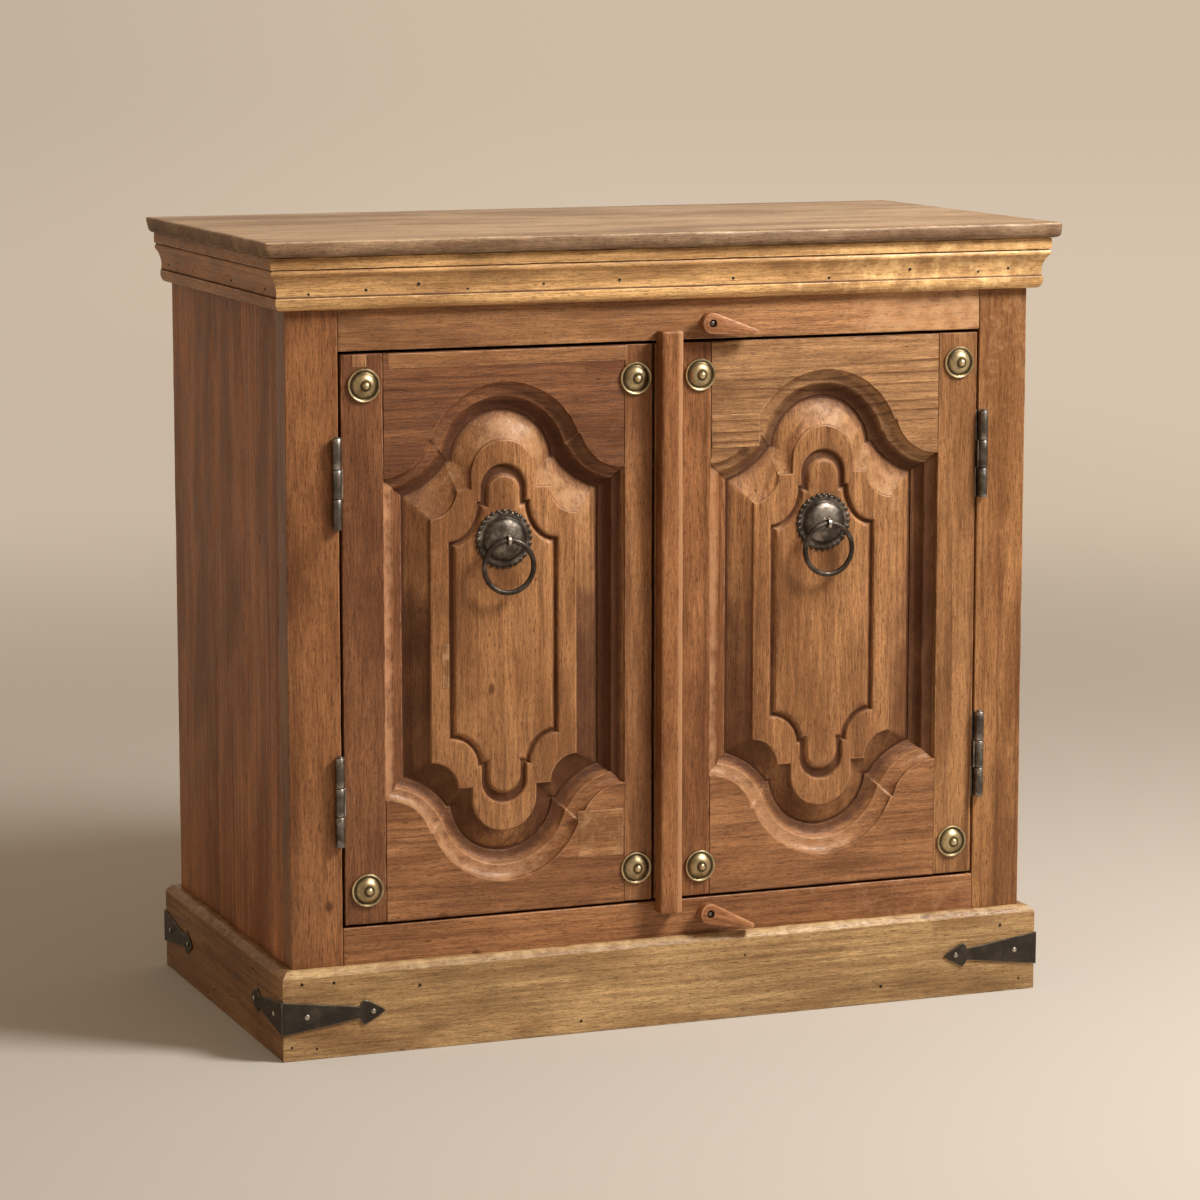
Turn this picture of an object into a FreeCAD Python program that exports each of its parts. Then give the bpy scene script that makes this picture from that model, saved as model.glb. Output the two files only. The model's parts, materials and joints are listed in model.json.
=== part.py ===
import FreeCAD, Part
import math
import os

# Carved two-door cabinet, in millimetres. X runs to the viewer's right, the doors face -Y,
# Z is up, the floor is Z = 0 and the origin is under the middle of the whole cabinet.

# Overall sizes
total_height = 900.0
carcass_width = 890.0
carcass_depth = 450.0

# Top board
top_thickness = 18.0
top_overhang = 30.0
top_edge_round = 9.0

# Cornice moulding, as heights above its foot and reaches out from the carcass
cornice_height = 58.0
cornice_lip = 8.5
cornice_ovolo_height = 9.0
cornice_ovolo_reach = 13.5
cornice_fillet_height = 14.0
cornice_quirk = 1.2
cornice_cove_height = 37.0
cornice_cove_reach = 17.6
cornice_cove_hollow = 2.4
cornice_bead_height = 8.0
cornice_band_reach = 20.5

# Plinth and its iron corner straps
plinth_height = 100.0
plinth_thickness = 15.0
plinth_chamfer = 7.0
carcass_lift = 5.0
strap_thickness = 2.0
strap_length = 118.0
strap_corner_height = 38.0
strap_neck_height = 13.0
strap_tip_length = 29.0
strap_tip_height = 27.0
strap_barb_length = 6.4
strap_spear_bow = 2.7
strap_middle_height = 49.0
strap_nail_radius = 3.6
strap_nail_height = 1.8
strap_heel_nail_inset = 27.0

# Carcass
stile_width = 60.0
top_rail_reveal = 46.0
bottom_rail_reveal = 41.0
side_thickness = 20.0
front_side_plank = 131.0
middle_side_plank = 116.0
plank_gap = 0.6
back_thickness = 16.0
back_plank_count = 6
post_size = 34.0
bottom_thickness = 20.0
cleat_size = 25.0
shelf_thickness = 18.0
shelf_top_height = 470.0
shelf_setback = 30.0
shelf_post_clearance = 0.5
batten_height = 30.0
batten_depth = 30.0
stop_drop = 12.0
stop_rise = 22.0
stop_depth = 16.0
stop_length = 500.0

# Doors
door_thickness = 34.0
door_proud = 0.4
door_gap = 3.0
meeting_gap = 3.4
hinge_stile_width = 48.0
meeting_seam_reach = 52.0
strip_width = 26.0
strip_left_reach = 15.5
strip_thickness = 21.0
strip_lap = 12.0
strip_chamfer = 3.0

# Door mouldings: two hollows that step down from the frame's face to the panel
moulding_width = 25.5
moulding_depth = 20.0
moulding_quirk = 1.5
moulding_fillet = 0.8
moulding_lip = 1.5
mitre_clearance = 0.2
first_hollow_width = 12.2
first_hollow_depth = 7.5
hollow_bow = 2.4
rebate_width = 8.0
panel_clearance = 2.0

# Arched rails: the crown arch over the panel, the rounded ears beside it, and the ledge between
# them. The moulding is wider on the arch, and its inner edge on the ears is a flatter arc.
crown_rail_height = 36.5
arch_radius = 91.5
arch_moulding_width = 30.5
ear_radius = 54.0
ear_drop = 137.0
inner_ear_radius = 93.0
inner_ear_drop = 161.5
ledge_drop = 96.5
inner_ledge_drop = 121.5

# Raised panel: outer field, sunk groove and inner plate. Drops are measured from the door's top
# for the upper end, and from its bottom for the lower end, which reaches a little further out.
panel_margin = 2.0
bevel_width = 29.5
field_sink = 6.0
field_step = 2.5
field_bump_radius = 38.0
field_shoulder = 31.0
field_crown_drop = 100.0
field_notch_drop = 154.0
field_low_crown_drop = 91.5
field_low_notch_drop = 142.5
plate_border = 22.0
plate_bump_radius = 26.5
plate_shoulder = 33.5
plate_crown_drop = 127.5
plate_notch_drop = 168.5
plate_shoulder_height = 43.0
plate_low_crown_drop = 123.0
plate_low_notch_drop = 166.0
plate_low_shoulder_height = 33.0
plate_groove_depth = 5.5
plate_groove_floor = 2.5
plate_slope = 6.0

# Brass bosses
boss_radius = 19.0
boss_rim_height = 3.2
boss_rim_width = 3.0
boss_gutter_height = 1.6
boss_dome_radius = 14.0
boss_dome_height = 7.0
boss_knob_radius = 4.4
boss_height = 11.2
boss_inset = 36.0
boss_meeting_reach = 38.0

# Ring pulls
pull_rise = 104.8
rosette_radius = 33.6
rosette_tooth_depth = 3.4
rosette_teeth = 28
tooth_root_share = 0.84
tooth_tip_share = 0.4
rosette_thickness = 2.0
dome_radius = 23.5
dome_height = 7.6
dome_flat_radius = 4.5
eye_neck_radius = 3.0
eye_neck_length = 0.3
eye_width = 4.5
eye_wall = 2.3
eye_clearance = 0.5
ring_radius = 29.0
ring_wire = 6.4

# Butt hinges
hinge_length = 100.0
hinge_inset = 140.0
barrel_radius = 5.2
barrel_lift = 0.4
barrel_offset = 4.0
knuckle_gap = 0.5
knuckle_share = 0.34
leaf_thickness = 1.2
leaf_depth = 28.0
pin_radius = 2.2
pin_clearance = 0.3
pin_head_radius = 3.6
pin_head_height = 1.6

# Turned wooden latches on the frame rails
latch_pivot_x = 45.0
latch_rail_inset_top = 19.0
latch_rail_inset_bottom = 15.5
latch_head_radius = 12.0
latch_reach = 54.0
latch_tip_radius = 3.6
latch_thickness = 13.0
latch_edge = 1.0
latch_rest_angle_top = -12.0
latch_rest_angle_bottom = -19.0
spacer_radius = 7.0
spacer_thickness = 9.5
screw_radius = 2.0
screw_head_radius = 3.4
screw_head_height = 2.2
screw_clearance = 0.4
screw_end_play = 0.3
counterbore_radius = 4.2
counterbore_depth = 3.6

# Flat sides of the round forms, few enough to keep the model light
curve_bends = 6
arch_bends = 8
bar_sides = 12
boss_sides = 14
boss_bands = 3
dome_sides = 24
dome_bands = 4
nail_sides = 6
ring_bends = 28
ring_wire_sides = 8
latch_head_bends = 10
latch_tip_bends = 4

# Places worked out from the sizes above
carcass_half = carcass_width / 2
rear_reach = plinth_thickness + strap_thickness + strap_nail_height
overall_depth = top_overhang + carcass_depth + rear_reach
face_y = top_overhang - overall_depth / 2
back_y = face_y + carcass_depth
frame_back_y = face_y + door_thickness
lining_y = back_y - back_thickness
carcass_top = total_height - top_thickness
cornice_foot = carcass_top - cornice_height
opening_half = carcass_half - stile_width
opening_top = cornice_foot - top_rail_reveal
opening_bottom = plinth_height + bottom_rail_reveal
inner_half = carcass_half - side_thickness
post_front_y = lining_y - post_size

door_face_y = face_y - door_proud
door_back_y = door_face_y + door_thickness
door_bottom = opening_bottom + door_gap
door_top = opening_top - door_gap
door_middle = (door_bottom + door_top) / 2
leaf_gap = 2 * leaf_thickness + knuckle_gap
door_hinge_x = opening_half - leaf_gap
hinge_seam_x = door_hinge_x - hinge_stile_width
panel_x = (hinge_seam_x + meeting_seam_reach) / 2
seam_half = (hinge_seam_x - meeting_seam_reach) / 2
right_edge_x = -strip_left_reach
left_edge_x = right_edge_x - meeting_gap

door_half = door_top - door_middle
arch_centre = door_half - crown_rail_height - arch_radius
ear_foot = door_half - ear_drop
inner_ear_foot = door_half - inner_ear_drop
field_half = seam_half - moulding_width - bevel_width
field_y = door_face_y + field_sink
panel_front_y = door_face_y + moulding_depth

hinge_axis_x = opening_half + barrel_offset
hinge_axis_y = face_y - barrel_radius - barrel_lift
pull_z = door_middle + pull_rise
dome_top_y = field_y - rosette_thickness - dome_height
eye_hole_radius = ring_wire / 2 + eye_clearance
eye_y = dome_top_y - eye_neck_length - eye_wall - eye_hole_radius
latch_back_y = face_y - spacer_thickness
latch_front_y = latch_back_y - latch_thickness


def vec(x, y, z):
    return FreeCAD.Vector(x, y, z)


def block(x_range, y_range, z_range):
    low = vec(min(x_range), min(y_range), min(z_range))
    size = [abs(span[1] - span[0]) for span in (x_range, y_range, z_range)]
    return Part.makeBox(size[0], size[1], size[2], low)


def loop(points):
    """A closed wire of straight edges through the points."""
    return Part.makePolygon(points + [points[0]])


def prism(points, direction):
    return Part.Face(loop(points)).extrude(direction)


def turned(outline, place, sides, ring=False):
    """A turned piece with flat sides. Its outline, (radius, height), ends on the axis unless it is a ring."""
    spokes = []
    for index in range(sides):
        angle = 2 * math.pi * (index + 0.5) / sides
        spokes.append([place(r * math.cos(angle), r * math.sin(angle), h) for r, h in outline])
    links = lines_through(range(len(outline)))
    if ring:
        links.append((len(outline) - 1, 0))
    faces = []
    for here, there in zip(spokes, spokes[1:] + spokes[:1]):
        for low, high in links:
            corners = [here[low], here[high]]
            if outline[high][0] > 0:
                corners.append(there[high])
            if outline[low][0] > 0:
                corners.append(there[low])
            faces.append(Part.Face(loop(corners)))
    return closed_solid(faces)


def through_outlines(outlines):
    """A solid through flat outlines of as many points, its sides cut into flat triangles."""
    faces = [Part.Face(loop(outlines[0])), Part.Face(loop(outlines[-1][::-1]))]
    for low, high in zip(outlines, outlines[1:]):
        for index in range(len(low)):
            after = (index + 1) % len(low)
            faces.append(Part.Face(loop([low[after], low[index], high[index]])))
            faces.append(Part.Face(loop([low[after], high[index], high[after]])))
    return closed_solid(faces)


def closed_solid(faces):
    shell = Part.makeShell(faces)
    shell.sewShape()
    solid = Part.Solid(shell)
    if solid.Volume < 0:
        solid.reverse()
    return solid.removeSplitter()


def bar(radius, start, way, length, sides):
    """A straight round bar with flat sides, its corners at the radius."""
    return turned([(0, 0), (radius, 0), (radius, length), (0, length)], along(start, way), sides)


def around(radius, sides):
    """The corner radius of a flat-sided hole that clears a round of the given radius."""
    return radius / math.cos(math.pi / sides)


def along(start, way):
    """Places (a, b, height) with the height along a unit way, one of the three axes, from a start."""
    across = vec(way.y, way.z, way.x)
    third = way.cross(across)
    return lambda a, b, h: start + across * a + third * b + way * h


def fuse_all(shapes):
    return shapes[0].multiFuse(shapes[1:]).removeSplitter()


def mirror_z(shape, height):
    return shape.mirror(vec(0, 0, height), vec(0, 0, 1))


def mirror_x(shape):
    return shape.mirror(vec(0, 0, 0), vec(1, 0, 0))


def save(name, *solids):
    shape = solids[0] if len(solids) == 1 else Part.makeCompound(list(solids))
    shape.exportStep(os.path.join("parts", name + ".step"))


def bowed_arc(start, end, bow):
    """An arc from start to end that bows by a distance to the left of the way it goes, in a plane (u, v)."""
    du = end[0] - start[0]
    dv = end[1] - start[1]
    span = math.hypot(du, dv)
    middle = ((start[0] + end[0]) / 2 - dv / span * bow, (start[1] + end[1]) / 2 + du / span * bow)
    return (start, middle, end)


def section_edges(pieces, place):
    """Edges of a section given as points, for lines, and point triples, for arcs, set in space by place."""
    edges = []
    for piece in pieces:
        spots = [place(u, v) for u, v in piece]
        if len(spots) == 2:
            edges.append(Part.makeLine(spots[0], spots[1]))
        else:
            edges.append(Part.Arc(spots[0], spots[1], spots[2]).toShape())
    return edges


def lines_through(points):
    return [(a, b) for a, b in zip(points, points[1:])]


# The carcass: plinth, face frame, sides, back, bottom, shelf and top
def plinth_section():
    """Section of a plinth board as (reach out from the carcass, height)."""
    outer = plinth_thickness
    points = [(0, 0), (outer, 0), (outer, plinth_height - plinth_chamfer),
              (outer - plinth_chamfer, plinth_height), (0, plinth_height), (0, 0)]
    return lines_through(points)


def reach_and_top(pieces):
    """How far a section reaches out and how high it goes."""
    points = [spot for piece in pieces for spot in piece]
    return max(u for u, v in points), max(v for u, v in points)


def length_across(pieces, wall_y, outward):
    """A moulding along the front or back of the carcass, mitred at both ends."""
    reach, top = reach_and_top(pieces)
    ends = carcass_half + reach
    wire = Part.Wire(section_edges(pieces, lambda u, v: vec(-ends, wall_y + outward * u, v)))
    body = Part.Face(wire).extrude(vec(2 * ends, 0, 0))
    outer_y = wall_y + outward * reach
    corners = [(-carcass_half, wall_y), (carcass_half, wall_y), (ends, outer_y), (-ends, outer_y)]
    return body.common(prism([vec(x, y, 0) for x, y in corners], vec(0, 0, top)))


def length_along(pieces, outward, rear_mitre):
    """A moulding along a side of the carcass, mitred at the front and, if asked, at the back."""
    reach, top = reach_and_top(pieces)
    wall_x = outward * carcass_half
    outer_x = wall_x + outward * reach
    front = face_y - reach
    rear = back_y + (reach if rear_mitre else 0)
    wire = Part.Wire(section_edges(pieces, lambda u, v: vec(wall_x + outward * u, front, v)))
    body = Part.Face(wire).extrude(vec(0, rear - front, 0))
    corners = [(wall_x, face_y), (outer_x, front), (outer_x, rear), (wall_x, back_y)]
    return body.common(prism([vec(x, y, 0) for x, y in corners], vec(0, 0, top)))


def cornice_section():
    """Section of the cornice as lines and arcs, (reach out from the carcass, height)."""
    foot = cornice_foot
    ovolo_top = foot + cornice_ovolo_height
    fillet_top = foot + cornice_fillet_height
    cove_top = foot + cornice_cove_height
    bead_top = cove_top + cornice_bead_height
    hollow_start = (cornice_ovolo_reach - cornice_quirk, fillet_top)
    hollow_end = (cornice_cove_reach, cove_top)
    bead_end = (cornice_cove_reach, bead_top)
    ovolo = bowed_arc((cornice_lip, foot), (cornice_ovolo_reach, ovolo_top), -cornice_quirk)
    cove = bowed_arc(hollow_start, hollow_end, cornice_cove_hollow)
    bead = bowed_arc(hollow_end, bead_end, -cornice_cove_hollow)
    base = lines_through([(0, foot), (cornice_lip, foot)])
    fillet_foot = (cornice_ovolo_reach, ovolo_top)
    fillet = lines_through([fillet_foot, (cornice_ovolo_reach, fillet_top), hollow_start])
    band = [(cornice_band_reach, bead_top), (cornice_band_reach, carcass_top)]
    head = [bead_end, *band, (0, carcass_top), (0, foot)]
    return base + [ovolo] + fillet + [cove, bead] + lines_through(head)


def make_plinth():
    section = plinth_section()
    save("plinth_front", length_across(section, face_y, -1))
    save("plinth_back", length_across(section, back_y, 1))
    save("plinth_left", length_along(section, -1, True))
    save("plinth_right", length_along(section, 1, True))


def make_cornice():
    section = cornice_section()
    save("cornice_front", length_across(section, face_y, -1))
    save("cornice_left", length_along(section, -1, False))
    save("cornice_right", length_along(section, 1, False))


def make_top():
    edge = carcass_half + top_overhang
    board = block((-edge, edge), (face_y - top_overhang, back_y), (carcass_top, total_height))
    rounded = []
    for line in board.Edges:
        middle = line.CenterOfMass
        low = abs(middle.z - carcass_top) < top_thickness / 4
        if low and middle.y < back_y - top_thickness / 4:
            rounded.append(line)
    save("top_board", board.makeFillet(top_edge_round, rounded))


def make_face_frame():
    height = (carcass_lift, carcass_top)
    depth = (face_y, frame_back_y)
    save("left_front_stile", block((-carcass_half, -opening_half), depth, height))
    save("right_front_stile", block((opening_half, carcass_half), depth, height))
    save("top_front_rail", block((-opening_half, opening_half), depth, (opening_top, carcass_top)))
    save("bottom_front_rail", block((-opening_half, opening_half), depth, (carcass_lift, opening_bottom)))


def make_sides():
    first = frame_back_y + front_side_plank
    second = first + middle_side_plank
    spans = [(frame_back_y, first - plank_gap), (first, second - plank_gap), (second, back_y)]
    planks = [block((-carcass_half, -inner_half), span, (carcass_lift, carcass_top)) for span in spans]
    save("left_side_boards", *planks)
    save("right_side_boards", *[mirror_x(plank) for plank in planks])


def make_back():
    step = 2 * inner_half / back_plank_count
    planks = []
    for index in range(back_plank_count):
        start = -inner_half + index * step
        gap = plank_gap if index < back_plank_count - 1 else 0
        planks.append(block((start, start + step - gap), (lining_y, back_y), (carcass_lift, carcass_top)))
    save("back_boards", *planks)


def make_inside():
    bottom = (opening_bottom - bottom_thickness, opening_bottom)
    depth = (frame_back_y, lining_y)
    save("bottom_board", block((-inner_half, inner_half), depth, bottom))
    post_x = (-inner_half, post_size - inner_half)
    post = block(post_x, (post_front_y, lining_y), (opening_bottom, carcass_top))
    save("left_rear_post", post)
    save("right_rear_post", mirror_x(post))
    low_cleat = block((-inner_half, cleat_size - inner_half), depth, (bottom[0] - cleat_size, bottom[0]))
    save("bottom_cleats", low_cleat, mirror_x(low_cleat))
    shelf_low = shelf_top_height - shelf_thickness
    shelf_front = frame_back_y + shelf_setback
    shelf_z = (shelf_low, shelf_top_height)
    shelf = block((-inner_half, inner_half), (shelf_front, lining_y), shelf_z)
    room = post_size + shelf_post_clearance
    notch = block((-inner_half, room - inner_half), (lining_y - room, lining_y), shelf_z)
    save("shelf", shelf.cut(notch).cut(mirror_x(notch)))
    cleat_z = (shelf_low - cleat_size, shelf_low)
    cleat = block((-inner_half, cleat_size - inner_half), (shelf_front, post_front_y), cleat_z)
    save("shelf_cleats", cleat, mirror_x(cleat))
    batten_z = (carcass_top - batten_height, carcass_top)
    front = block((-inner_half, inner_half), (frame_back_y, frame_back_y + batten_depth), batten_z)
    between_posts = inner_half - post_size
    rear = block((-between_posts, between_posts), (lining_y - batten_depth, lining_y), batten_z)
    save("top_battens", front, rear)
    stop_z = (opening_top - stop_drop, opening_top + stop_rise)
    stop_y = (frame_back_y, frame_back_y + stop_depth)
    save("door_stop", block((-stop_length / 2, stop_length / 2), stop_y, stop_z))


# Iron straps round the plinth's corners, with spear-shaped tips
def strap_leg(place):
    """One leg of a strap, as a face in a plane (u along the board from the corner, v up)."""
    neck_u = strap_length - strap_tip_length
    barb_u = neck_u + strap_barb_length
    half_corner = strap_corner_height / 2
    half_neck = strap_neck_height / 2
    half_tip = strap_tip_height / 2
    edge = bowed_arc((barb_u, half_tip), (strap_length, 0), strap_spear_bow)
    upper = [(0, half_corner), (neck_u, half_neck), edge[0], edge[1]]
    lower = [(u, -v) for u, v in reversed(upper)]
    return Part.Face(loop([place(u, v) for u, v in upper + [edge[2]] + lower]))


def strap_and_nails(sign_x, sign_y):
    """An angle strap on one corner of the plinth. sign_x and sign_y point out from the corner."""
    corner_x = sign_x * (carcass_half + plinth_thickness)
    corner_y = (face_y - plinth_thickness) if sign_y < 0 else (back_y + plinth_thickness)
    middle = strap_middle_height
    half = strap_corner_height / 2
    face_leg = strap_leg(lambda u, v: vec(corner_x - sign_x * u, corner_y, middle + v))
    side_leg = strap_leg(lambda u, v: vec(corner_x, corner_y - sign_y * u, middle + v))
    outer_x = corner_x + sign_x * strap_thickness
    outer_y = corner_y + sign_y * strap_thickness
    heel = block((corner_x, outer_x), (corner_y, outer_y), (middle - half, middle + half))
    strap = fuse_all([face_leg.extrude(vec(0, sign_y * strap_thickness, 0)),
                      side_leg.extrude(vec(sign_x * strap_thickness, 0, 0)), heel])
    nails = []
    for inset in (strap_heel_nail_inset, strap_length - strap_tip_length / 2):
        nails.append(nail_head(vec(corner_x - sign_x * inset, outer_y, middle), vec(0, sign_y, 0)))
        nails.append(nail_head(vec(outer_x, corner_y - sign_y * inset, middle), vec(sign_x, 0, 0)))
    return strap, nails


def nail_head(spot, outward):
    """A hand-forged nail head, a low pyramid with a few flat sides."""
    return turned([(0, 0), (strap_nail_radius, 0), (0, strap_nail_height)], along(spot, outward), nail_sides)


def make_straps():
    all_nails = []
    places = [("front_left_strap", -1, -1), ("front_right_strap", 1, -1),
              ("rear_left_strap", -1, 1), ("rear_right_strap", 1, 1)]
    for name, sign_x, sign_y in places:
        strap, nails = strap_and_nails(sign_x, sign_y)
        save(name, strap)
        all_nails += nails
    save("strap_nails", *all_nails)


# Doors. A section of the moulding is (width in from the seam, depth from the door's face).
def moulding_section():
    """Two hollows, each of two flats, with a fillet between them and a rebate for the panel behind."""
    first_end = (first_hollow_width, moulding_quirk + first_hollow_depth)
    second_start = (first_hollow_width + moulding_fillet, first_end[1])
    second_end = (moulding_width, moulding_depth - moulding_lip)
    rebate = moulding_width - rebate_width
    first = bowed_arc((0, moulding_quirk), first_end, hollow_bow)
    second = bowed_arc(second_start, second_end, hollow_bow)
    back = [(moulding_width, moulding_depth), (rebate, moulding_depth), (rebate, door_thickness)]
    return [*first, *second, *back]


def carved_opening(centre_x):
    """What the carver takes out of the frame: the opening with its moulded edge, past both faces."""
    past = door_thickness
    section = [(0, -past), *moulding_section(), (moulding_width - rebate_width, door_thickness + past)]
    return through_outlines([opening_outline(u, centre_x, door_face_y + v) for u, v in section])


def ear_mitre(clearance):
    """The corner at the seam and the corner at the panel, (width, height), where an ear meets a stile."""
    return [(u, opening_quarter(u)[0][1] + clearance) for u in (0, moulding_width)]


def door_slab(corners):
    """A flat board through the whole thickness of the door, from its corners (x, z)."""
    return prism([vec(x, door_face_y, z) for x, z in corners], vec(0, door_thickness, 0))


def arched_top_rail(centre_x, opening):
    """The upper rail: a board hollowed by the crown arch, with a rounded ear at each end."""
    mitre = [(seam_half - u, door_middle + z) for u, z in ear_mitre(0)]
    corners = [(seam_half, door_top), *mitre]
    corners += [(-x, z) for x, z in reversed(corners)]
    return door_slab([(centre_x + x, z) for x, z in corners]).cut(opening).removeSplitter()


def moulded_stile(outer_x, seam_x, opening):
    """A stile with its moulding, mitred to the ears of the rails above and below."""
    inward = 1 if seam_x > outer_x else -1
    straight = block((outer_x, seam_x), (door_face_y, door_back_y), (door_bottom, door_top))
    upper = [(seam_x + inward * u, z) for u, z in ear_mitre(-mitre_clearance)]
    corners = [(x, door_middle + z) for x, z in upper] + [(x, door_middle - z) for x, z in reversed(upper)]
    return straight.fuse(door_slab(corners).cut(opening)).removeSplitter()


def whole_outline(upper, lower, centre_x, y):
    """A closed outline from its right quarters, above and below the middle, repeated to the left."""
    above = upper + [(-x, z) for x, z in reversed(upper[:-1])]
    below = lower + [(-x, z) for x, z in reversed(lower[:-1])]
    spots = above + [(x, -z) for x, z in reversed(below)]
    return [vec(centre_x + x, y, door_middle + z) for x, z in spots]


def on_circle(centre, radius, angle):
    return (centre[0] + radius * math.cos(angle), centre[1] + radius * math.sin(angle))


def arc_about(centre, reach, start_angle, end_angle, bends):
    """Points along an arc about a centre, with a reach along each axis."""
    turn = end_angle - start_angle
    angles = [start_angle + turn * bend / bends for bend in range(bends + 1)]
    return [(centre[0] + reach[0] * math.cos(a), centre[1] + reach[1] * math.sin(a)) for a in angles]


def opening_quarter(width):
    """Upper right quarter of the opening, a width in from the frame's face edge at the stile."""
    share = width / moulding_width
    ear_reach = ear_radius + (inner_ear_radius - ear_radius) * share
    ear_middle = ear_foot + (inner_ear_foot - ear_foot) * share + ear_reach
    arch_reach = arch_radius - arch_moulding_width * share
    ledge = door_half - ledge_drop - (inner_ledge_drop - ledge_drop) * share
    ear_start = -math.pi / 2 - math.asin(width / ear_reach)
    ear_end = math.asin((ear_middle - ledge) / ear_reach) - math.pi
    ear = arc_about((seam_half, ear_middle), (ear_reach, ear_reach), ear_start, ear_end, curve_bends)
    arch_start = math.asin((ledge - arch_centre) / arch_reach)
    arch = arc_about((0, arch_centre), (arch_reach, arch_reach), arch_start, math.pi / 2, arch_bends)
    return ear + arch


def opening_outline(width, centre_x, y):
    """The framed opening, a width in from the edge of the frame's face."""
    quarter = opening_quarter(width)
    return whole_outline(quarter, quarter, centre_x, y)


def cusped_quarter(half_width, bump_radius, shoulder, end, inset):
    """Right quarter of a raised shape, drawn in by an inset: a hollow shoulder, a notch and a bump.

    shoulder is the hollow's width, and end is the drop of its crown, that of its notch and its height.
    """
    crown_drop, notch_drop, height = end
    crown = door_half - crown_drop
    notch = door_half - notch_drop
    wide = shoulder + inset
    tall = height + inset
    start = -math.pi / 2 - math.asin(inset / wide)
    finish = math.asin(inset / tall) - math.pi
    hollow = arc_about((half_width, notch), (wide, tall), start, finish, curve_bends)
    bump_half = bump_radius - inset
    bump = arc_about((0, crown - bump_radius), (bump_half, bump_half), 0, math.pi / 2, arch_bends - 1)
    return [*hollow, (bump_half, notch - inset), *bump]


def field_outline(centre_x, y):
    """The raised field's outline."""
    ends = [(field_crown_drop, field_notch_drop, field_shoulder),
            (field_low_crown_drop, field_low_notch_drop, field_shoulder)]
    quarters = [cusped_quarter(field_half, field_bump_radius, field_shoulder, end, 0) for end in ends]
    return whole_outline(*quarters, centre_x, y)


def plate_outline(inset, centre_x, y):
    """The inner plate's outline, drawn in from the groove's outer edge by an inset."""
    half_width = field_half - plate_border
    ends = [(plate_crown_drop, plate_notch_drop, plate_shoulder_height),
            (plate_low_crown_drop, plate_low_notch_drop, plate_low_shoulder_height)]
    quarters = [cusped_quarter(half_width, plate_bump_radius, plate_shoulder, end, inset) for end in ends]
    return whole_outline(*quarters, centre_x, y)


def carved_panel(centre_x):
    """The panel: a board in the frame's rebate, a bevelled field and an inner plate in a sunk groove."""
    board_width = moulding_width - rebate_width + panel_clearance
    board_depth = vec(0, door_back_y - panel_front_y, 0)
    board = prism(opening_outline(board_width, centre_x, panel_front_y), board_depth)
    foot = opening_outline(moulding_width + panel_margin, centre_x, panel_front_y)
    crest = field_outline(centre_x, field_y + field_step)
    field = through_outlines([foot, crest, field_outline(centre_x, field_y)])
    floor_y = field_y + plate_groove_depth
    pocket = prism(plate_outline(0, centre_x, field_y), vec(0, plate_groove_depth, 0))
    plate_foot = plate_outline(plate_groove_floor, centre_x, floor_y)
    plate_top = plate_outline(plate_groove_floor + plate_slope, centre_x, field_y)
    plate = through_outlines([plate_foot, plate_top])
    return fuse_all([board, field]).cut(pocket).fuse(plate).removeSplitter()


def boss(x, z):
    """A turned brass boss: a rolled rim, a gutter, a dome and a round knob on top."""
    outline = [(0, 0), (boss_radius, 0), (boss_radius, boss_rim_height / 2),
               (boss_radius - boss_rim_width / 2, boss_rim_height),
               (boss_radius - boss_rim_width, boss_gutter_height)]
    dome_rise = boss_dome_height - boss_gutter_height
    for band in range(boss_bands):
        angle = math.pi / 2 * band / boss_bands
        radius = boss_knob_radius + (boss_dome_radius - boss_knob_radius) * math.cos(angle)
        outline.append((radius, boss_gutter_height + dome_rise * math.sin(angle)))
    for band in range(boss_bands):
        angle = math.pi / 2 * band / boss_bands
        rise = (boss_height - boss_dome_height) * math.sin(angle)
        outline.append((boss_knob_radius * math.cos(angle), boss_dome_height + rise))
    outline.append((0, boss_height))
    return turned(outline, along(vec(x, door_face_y, z), vec(0, -1, 0)), boss_sides)


def pull_plate(x):
    """A rosette with cut teeth round its edge and a dome in its middle."""
    pitch = 2 * math.pi / rosette_teeth
    root = rosette_radius - rosette_tooth_depth
    corners = [(-tooth_root_share, root), (-tooth_tip_share, rosette_radius),
               (tooth_tip_share, rosette_radius), (tooth_root_share, root)]
    points = []
    for index in range(rosette_teeth):
        for share, radius in corners:
            spot = on_circle((x, pull_z), radius, (index + share / 2) * pitch)
            points.append(vec(spot[0], field_y, spot[1]))
    plate = prism(points, vec(0, -rosette_thickness, 0))
    outline = [(0, 0)]
    for band in range(dome_bands + 1):
        angle = math.pi / 2 * band / dome_bands
        radius = dome_flat_radius + (dome_radius - dome_flat_radius) * math.cos(angle)
        outline.append((radius, dome_height * math.sin(angle)))
    outline.append((0, dome_height))
    dome = turned(outline, along(vec(x, field_y - rosette_thickness, pull_z), vec(0, -1, 0)), dome_sides)
    return plate.fuse(dome).removeSplitter()


def pull_eye(x):
    """The staple on the dome: a short neck and an eye whose hole runs along X."""
    hole = around(eye_hole_radius, bar_sides)
    outer = around(eye_hole_radius + eye_wall, bar_sides)
    outline = [(hole, 0), (outer, 0), (outer, eye_width), (hole, eye_width)]
    eyelet = turned(outline, along(vec(x - eye_width / 2, eye_y, pull_z), vec(1, 0, 0)), bar_sides, ring=True)
    neck_length = eye_neck_length + eye_wall / 2
    neck = bar(eye_neck_radius, vec(x, dome_top_y, pull_z), vec(0, -1, 0), neck_length, bar_sides)
    return eyelet.fuse(neck).removeSplitter()


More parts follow.
